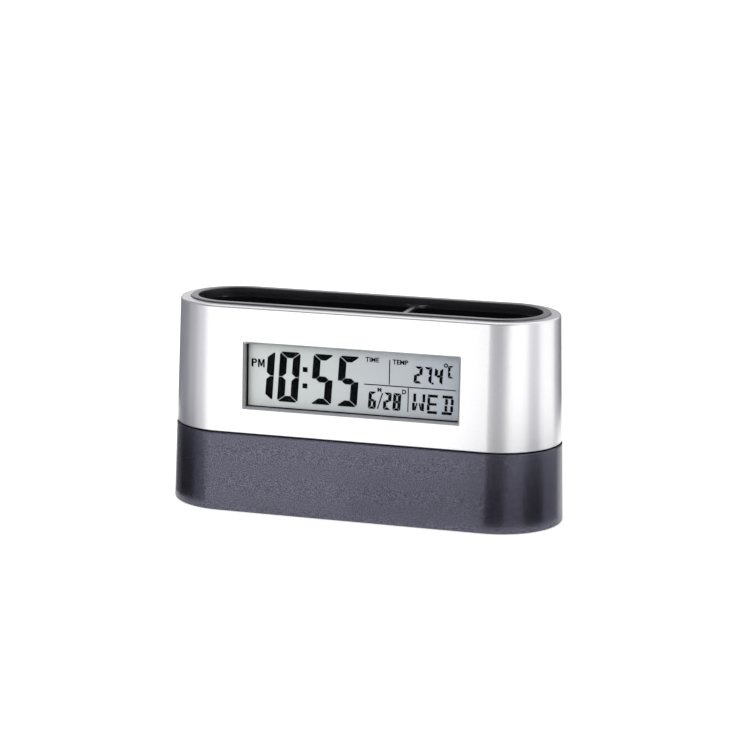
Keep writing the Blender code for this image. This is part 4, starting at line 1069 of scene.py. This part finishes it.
def patch(points):
    """Adds one filled shape to the display. Points are in millimetres from the window's middle."""
    outline(art, [(x / 1000, y / 1000) for x, y in points])


SEGMENTS_OF = {"0": "abcdef", "1": "bc", "2": "abged", "4": "fgbc", "5": "afgcd", "6": "afgedc"}
SEGMENTS_OF |= {"7": "abc", "8": "abcdefg", "C": "adef"}


def digit(character, x, y, width, height, thick, gap, slant=0.055):
    """One segmented character whose lower left corner is at (x, y). Its level strokes are thinner."""
    middle = height / 2
    half = thick / 2
    level = thick * 0.8
    bevel = thick * 0.25
    inner = width - thick
    rise = height - level
    shapes = {
        "a": [(bevel + gap, height), (width - bevel - gap, height)]
        + [(width - bevel / 2 - gap, height - bevel / 2), (inner - gap, rise)]
        + [(thick + gap, rise), (bevel / 2 + gap, height - bevel / 2)],
        "b": [(width - bevel / 2, height - bevel / 2 - gap), (width, height - bevel - gap)]
        + [(width, middle + gap / 2), (width - half, middle + gap / 2)]
        + [(inner, middle + level / 2 + gap), (inner, rise - gap)],
        "g": [(half + gap / 2, middle), (thick, middle + level / 2), (inner, middle + level / 2)]
        + [(width - half - gap / 2, middle), (inner, middle - level / 2), (thick, middle - level / 2)],
    }
    shapes["d"] = [(px, height - py) for px, py in shapes["a"]]
    shapes["c"] = [(px, height - py) for px, py in shapes["b"]]
    shapes["f"] = [(width - px, py) for px, py in shapes["b"]]
    shapes["e"] = [(px, height - py) for px, py in shapes["f"]]
    for name in SEGMENTS_OF[character]:
        patch([(x + px + slant * py, y + py) for px, py in shapes[name]])


def bar(x_low, x_high, y_low, y_high):
    patch([(x_low, y_low), (x_high, y_low), (x_high, y_high), (x_low, y_high)])


for character, x in (("1", -42.0), ("0", -31.5), ("5", -17.7), ("5", -7.1)):
    digit(character, x, -10.4, 8.5, 20.1, 3.05, 0.16)
for y in (3.1, -3.4):
    bar(-21.0, -19.0, y - 1.0, y + 1.0)
for character, x in (("2", 24.2), ("7", 28.0), ("4", 32.4)):
    digit(character, x, 0.9, 3.3, 6.7, 1.25, 0.1)
bar(31.5, 32.3, 0.9, 1.7)
digit("C", 37.9, 3.8, 2.3, 4.9, 1.0, 0.08, 0)
for character, x in (("6", 5.9), ("2", 12.0), ("8", 15.9)):
    digit(character, x, -10.5, 3.2, 6.9, 1.3, 0.1)
patch([(9.6, -10.4), (10.1, -10.4), (12.1, -3.9), (11.6, -3.9)])
bar(14.25, 14.65, -0.4, 9.4)
bar(4.3, 41.2, -1.1, -0.7)
bar(22.0, 22.4, -10.7, -1.2)
ring_angles = [math.pi * i / 12 for i in range(24)]
for radius in (0.85, 0.4):
    patch([(37.0 + radius * math.cos(a), 8.7 + radius * math.sin(a)) for a in ring_angles])

# The letters P and M of PM, with the hole of the P.
patch(
    [(-42.3, 2.8), (-42.3, 6.1), (-40.6, 6.1), (-40.0, 5.6)]
    + [(-40.0, 4.8), (-40.6, 4.3), (-41.5, 4.3), (-41.5, 2.8)]
)
patch([(-41.5, 4.9), (-41.5, 5.5), (-40.9, 5.5), (-40.7, 5.35), (-40.7, 5.05), (-40.9, 4.9)])
for side in (-1, 1):
    strokes = ((0, 4.3), (0.6, 6.1), (1.4, 6.1), (1.4, 2.8), (0.75, 2.8), (0.75, 4.7), (0.25, 3.2), (0, 3.2))
    patch([(-38.2 + side * px, py) for px, py in strokes])

# The weekday's letters W, E and D need more strokes than the numbers.
for x in (24.3, 28.0):
    bar(x, x + 1.1, -6.4, -3.2)
    bar(x - 0.45, x + 0.65, -9.9, -6.8)
for side in (-1, 1):
    strokes = ((0.2, -6.9), (0.8, -6.9), (1.25, -8.6), (1.25, -9.7), (0.9, -9.7))
    patch([(26.25 + side * px, py) for px, py in strokes])
for x_low, x_high in ((30.0, 33.9), (35.8, 39.9)):
    bar(x_low, x_high, -10.7, -9.6)
    bar(x_low + 0.2, x_high + 0.2, -4.2, -3.1)
bar(31.0, 33.7, -7.4, -6.4)
for x in (29.8, 36.9, 39.2):
    bar(x, x + 1.1, -9.4, -7.1)
    bar(x + 0.2, x + 1.3, -6.7, -4.4)

prints = [drawn(art, "segments")]
for text, x, y, size, bolder in (
    ("TIME", 4.6, 8.05, 2.6, 0.07),
    ("TEMP", 15.6, 7.8, 2.6, 0.07),
    ("M", 9.7, -3.5, 2.2, 0.09),
    ("D", 19.6, -3.7, 2.4, 0.09),
):
    prints.append(lettered(text, size / 1000, (x / 1000, y / 1000, 0), offset=bolder / 1000))
segments = joined(prints)
# One sheet, raised a little so that it has two sides, then stood up on the glass.
shape(segments)
bpy.ops.mesh.remove_doubles(threshold=TOUCHING)
bpy.ops.mesh.extrude_region_move(TRANSFORM_OT_translate={"value": (0, 0, SEGMENT_THICK)})
face_outward()
settle(segments, "segments", (0, SEGMENT_DEPTH, 0), (math.pi / 2, 0, 0))
segments = behind_window(segments, "display_segments")
# Darkened liquid crystal: a blue-black stain in the film, not quite even from edge to edge.
dark_crystal = grained(
    "darkened_liquid_crystal", 0.004, "#030406", "#08090C", roughness=0.45, specular_ior_level=0.0
)
fit(segments, "case", dark_crystal, "display_glass")


# --------------------
# Clock board. It is screwed to the casing's posts and presses the rubber connectors against the display. On
# its back sit the clock chip under a drop of black epoxy, the quartz crystal's can and the sensor bead.

keep(plated_steel, "quartz_crystal", *[f"board_screw_{i}" for i in range(1, 5)])
# Potting epoxy: glossy black, poured as a drop.
potting_epoxy = grained("black_potting_epoxy", 0.003, "#0F0F11", "#19191C", bump=0.1, roughness=0.2, ior=1.55)
keep(potting_epoxy, "chip_blob", "temperature_sensor")


# --------------------
# Case screws. Four self-tapping screws with cross-recessed pan heads, plated, sit deep in wells in the
# underside.

keep(plated_steel, *[f"case_screw_{i}" for i in range(1, 5)])


# --------------------
# Rubber feet. Four round pads of black rubber are moulded with a hollow underneath and glued into shallow
# seats. They stand 1 mm proud of the base.

# Natural rubber: matt black, with a dusty bloom.
foot_rubber = grained("moulded_rubber", 0.0009, "#1D1D1E", "#2B2B2C", bump=0.2, roughness=0.85)
for i, (x, y) in enumerate(FEET, 1):
    foot = turned(
        [(0.0032, 0), (0.0044, 0), (0.0048, 0.0001), (FOOT_RADIUS, 0.0004), (FOOT_RADIUS, FOOT_TALL)],
        steps=64,
        at=(x, y, 0),
        name=f"foot_pad_{i}",
    )
    shape(foot)
    pick("FACE", lambda middle, face: middle.z < 0.00001 and len(face.verts) > 4)
    bpy.ops.mesh.inset(thickness=0.0008, depth=-0.0002)
    smooth(foot)
    fit(foot, "case", foot_rubber, "foot_rubber", f"rubber_foot_{i}")


# --------------------
# Sounder and leads. A brass disc over six small holes chirps for the alarm. A flat ribbon joins the two
# boards, and a red and a black wire bring the battery's current.

# Rolled brass, slightly tarnished.
rolled_brass = grained("rolled_brass", 0.002, "#A88442", "#C9A45C", bump=0.05, metallic=1.0, roughness=0.32)
keep(rolled_brass, "buzzer_disc")
for name, dark, light, node in (
    ("grey_ribbon_vinyl", "#6E7072", "#808284", "ribbon_cable"),
    ("red_wire_vinyl", "#A01812", "#B8241C", "red_wire"),
    ("black_wire_vinyl", "#151516", "#222224", "black_wire"),
):
    keep(grained(name, 0.001, dark, light, bump=0.05, roughness=0.45), node)


# --------------------
# Studio. A pale table, soft light from above and the front, and grey and white boards standing round the
# clock, out of sight, which only its shiny surfaces mirror.

TABLE_SIZE = 12.0
TABLE_SEEN = 0.64
TABLE_MIRRORED = 0.44
AIR_FILL = 0.55
BOARD_RADIUS = 0.23
LEFT, RIGHT = -CASE_RUN / 2, CASE_RUN / 2
LOWER = (0.0, 0.10)
UPPER = (0.10, 0.32)
WHOLE = (0.0, 0.32)
# Each board: where it starts and ends, in degrees from the front towards +X, its foot and top, and its grey.
BOARDS = (
    (4, 14, LOWER, "#B6B6BA"),
    (14, 32, LOWER, "#9E9EA4"),
    (32, 40, LOWER, "#CFCFD3"),
    (70, 88, WHOLE, "#D4D4D9"),
    (120, 136, LOWER, "#A4A4AA"),
    (136, 196, LOWER, "#6C6C72"),
    (196, 250, LOWER, "#70707A"),
    (250, 272, WHOLE, "#74747E"),
    (272, 290, WHOLE, "#A0A0A8"),
    (290, 306, WHOLE, "#D0D0D5"),
    (140, 181, UPPER, "#B4B4BA"),
    (181, 250, UPPER, "#DCDCE0"),
    (290, 410, UPPER, "#3A3A40"),
)
# Each mat lies where one part of the base's wall mirrors it: the x about which the wall turns and the degrees
# that it faces from the front towards +X, at the part's start and at its end, the mat's reach and its grey.
MATS = (
    (LEFT, -60, LEFT, -47, 0.165, "#84848A"),
    (LEFT, -47, LEFT, -25, 0.165, "#1E1E22"),
    (LEFT, -25, LEFT, -13, 0.165, "#A0A0A6"),
    (0, 0, 0.0240, 0, 0.110, "#F4F4F6"),
    (0.0240, 0, RIGHT, 1, 0.110, "#F0F0F3"),
    (RIGHT, 1, RIGHT, 19, 0.165, "#141418"),
    (RIGHT, 19, RIGHT, 37, 0.165, "#A2A2A8"),
    (RIGHT, 37, RIGHT, 57, 0.165, "#141418"),
    (RIGHT, 57, RIGHT, 80, 0.165, "#B4B4BA"),
)
MAT_GAP = 0.012
MAT_STEPS = 8
BOARD_STEPS = 180
BOARD_LIFT = 0.0005
MAT_LIFT = 0.0003
LAMP_AIM = Vector((0, 0, 0.04))
# The camera stands this many degrees to the right of the front of the wall's middle, and this many less for
# each metre from there towards +X: 19 at the left end, 13.5 at the right one.
SEEN_FROM = 16.25
SEEN_LESS = 50.8


def bare(finish):
    """Opens a finish, or the world, without any nodes."""
    finish.use_nodes = True
    finish.node_tree.nodes.clear()
    return finish


def ray_kinds(finish):
    """Whether a ray comes straight from the camera, and whether something mirrored or passed it on."""
    kinds = add_node(finish, "LightPath")
    passed_on = add_node(
        finish,
        "Math",
        {0: kinds.outputs["Is Glossy Ray"], 1: kinds.outputs["Is Transmission Ray"]},
        operation="MAXIMUM",
    )
    return kinds.outputs["Is Camera Ray"], passed_on.outputs[0]


def only_mirrored(piece, name, grey):
    """Gives a studio piece its plain grey glow and hides it from all but the mirroring surfaces."""
    deselect()
    piece.name = name
    card = bare(bpy.data.materials.new(f"{name}_grey"))
    glow = add_node(card, "Emission", {"Color": srgb(grey), "Strength": 1.0})
    add_node(card, "OutputMaterial", {"Surface": glow.outputs[0]})
    piece.data.materials.append(card)
    piece.visible_camera = piece.visible_diffuse = piece.visible_shadow = piece.visible_transmission = False


def bearing(point):
    """Degrees from the front towards +X."""
    return math.degrees(math.atan2(point.x, -point.y))


deselect()
bpy.ops.mesh.primitive_plane_add(size=TABLE_SIZE, location=(0, 0, 0))
table = bpy.context.object
table.name = "table_top"
table_paint = bare(bpy.data.materials.new("pale_table_paint"))
# Where it is seen or mirrored, the table also glows faintly.
seen, mirrored = ray_kinds(table_paint)
lift = add_node(table_paint, "MapRange", {"Value": seen, "To Max": TABLE_SEEN})
lift = add_node(
    table_paint,
    "Math",
    {0: mirrored, 1: TABLE_MIRRORED, 2: lift.outputs[0]},
    operation="MULTIPLY_ADD",
)
glow = add_node(table_paint, "Emission", {"Color": srgb("#FFFFFF"), "Strength": lift.outputs[0]})
place = add_node(table_paint, "TexCoord").outputs["Object"]
mottle = add_node(table_paint, "TexNoise", {"Vector": place, "Scale": 30.0})
shades = add_node(table_paint, "ValToRGB", {"Fac": mottle.outputs["Fac"]})
for stop, colour in zip(shades.color_ramp.elements, ("#F1F1F0", "#F3F3F2")):
    stop.color = srgb(colour)
chalk = add_node(table_paint, "BsdfDiffuse", {"Color": shades.outputs["Color"]})
both = add_node(table_paint, "AddShader", {0: chalk.outputs[0], 1: glow.outputs[0]})
add_node(table_paint, "OutputMaterial", {"Surface": both.outputs[0]})
table.data.materials.append(table_paint)

for i, (start, end, (foot, top), grey) in enumerate(BOARDS, 1):
    deselect()
    bpy.ops.mesh.primitive_cylinder_add(
        vertices=BOARD_STEPS,
        radius=BOARD_RADIUS,
        depth=top - foot,
        end_fill_type="NOTHING",
        location=(0, 0, (foot + top) / 2 + BOARD_LIFT),
    )
    board = bpy.context.object
    bpy.ops.object.transform_apply(location=False, rotation=True, scale=True)
    shape(board)
    pick("FACE", lambda middle, face: not 0 < (bearing(middle) - start) % 360 < end - start)
    bpy.ops.mesh.delete(type="FACE")
    only_mirrored(board, f"studio_board_{i}", grey)
for i, (start_x, start, end_x, end, reach, grey) in enumerate(MATS, 1):
    near, far = [], []
    for step in range(MAT_STEPS + 1):
        middle = start_x + (end_x - start_x) * step / MAT_STEPS
        faces = start + (end - start) * step / MAT_STEPS
        out, away = math.radians(faces), math.radians(2 * faces - SEEN_FROM + SEEN_LESS * middle)
        x, y = middle + CASE_RADIUS * math.sin(out), -CASE_RADIUS * math.cos(out)
        near.append((x + MAT_GAP * math.sin(away), y - MAT_GAP * math.cos(away)))
        far.append((x + reach * math.sin(away), y - reach * math.cos(away)))
    flat = flat_curve("mat")
    outline(flat, near + far[::-1])
    only_mirrored(drawn(flat, "mat", (0, 0, MAT_LIFT)), f"studio_mat_{i}", grey)

world = bare(bpy.data.worlds.new("studio_air"))
bpy.context.scene.world = world
seen, mirrored = ray_kinds(world)
straight = add_node(world, "Math", {0: seen, 1: mirrored}, operation="MAXIMUM")
fill = add_node(world, "Background", {"Color": srgb("#FFFFFF"), "Strength": AIR_FILL})
backdrop = add_node(world, "Background", {"Color": srgb("#FFFFFF"), "Strength": 1.0})
air = add_node(world, "MixShader", {0: straight.outputs[0], 1: fill.outputs[0], 2: backdrop.outputs[0]})
add_node(world, "OutputWorld", {"Surface": air.outputs[0]})

for name, at, size, power in (
    ("soft_key_lamp", (-0.1, -1.2, 0.35), 1.2, 14.0),
    ("soft_fill_lamp", (0.8, -0.3, 0.9), 0.8, 2.5),
):
    lamp_data = bpy.data.lights.new(name, "AREA")
    lamp_data.size = size
    lamp_data.energy = power
    lamp = bpy.data.objects.new(name, lamp_data)
    bpy.context.collection.objects.link(lamp)
    lamp.location = at
    lamp.visible_glossy = False
    lamp.rotation_euler = (LAMP_AIM - Vector(at)).to_track_quat("-Z", "Y").to_euler()

# The camera stands to the right of the front and a little above, as in the photograph. In metres and degrees.
AIM = (0.00309, 0, 0.05433)
CAMERA_AWAY = 0.9604
CAMERA_RIGHT = 16.209
CAMERA_UP = 12.008
CAMERA_ROLL = 0.717
LENS_LENGTH = 115.8
SENSOR_WIDTH = 36

camera_data = bpy.data.cameras.new("camera")
camera_data.lens = LENS_LENGTH
camera_data.sensor_width = SENSOR_WIDTH
camera = bpy.data.objects.new("camera", camera_data)
bpy.context.collection.objects.link(camera)
camera.matrix_world = (
    Matrix.Translation(AIM)
    @ Matrix.Rotation(math.radians(CAMERA_RIGHT), 4, "Z")
    @ Matrix.Rotation(math.radians(90 - CAMERA_UP), 4, "X")
    @ Matrix.Rotation(math.radians(CAMERA_ROLL), 4, "Z")
    @ Matrix.Translation((0, 0, CAMERA_AWAY))
)
bpy.context.scene.camera = camera
bpy.context.scene.view_settings.view_transform = "Standard"

deselect()
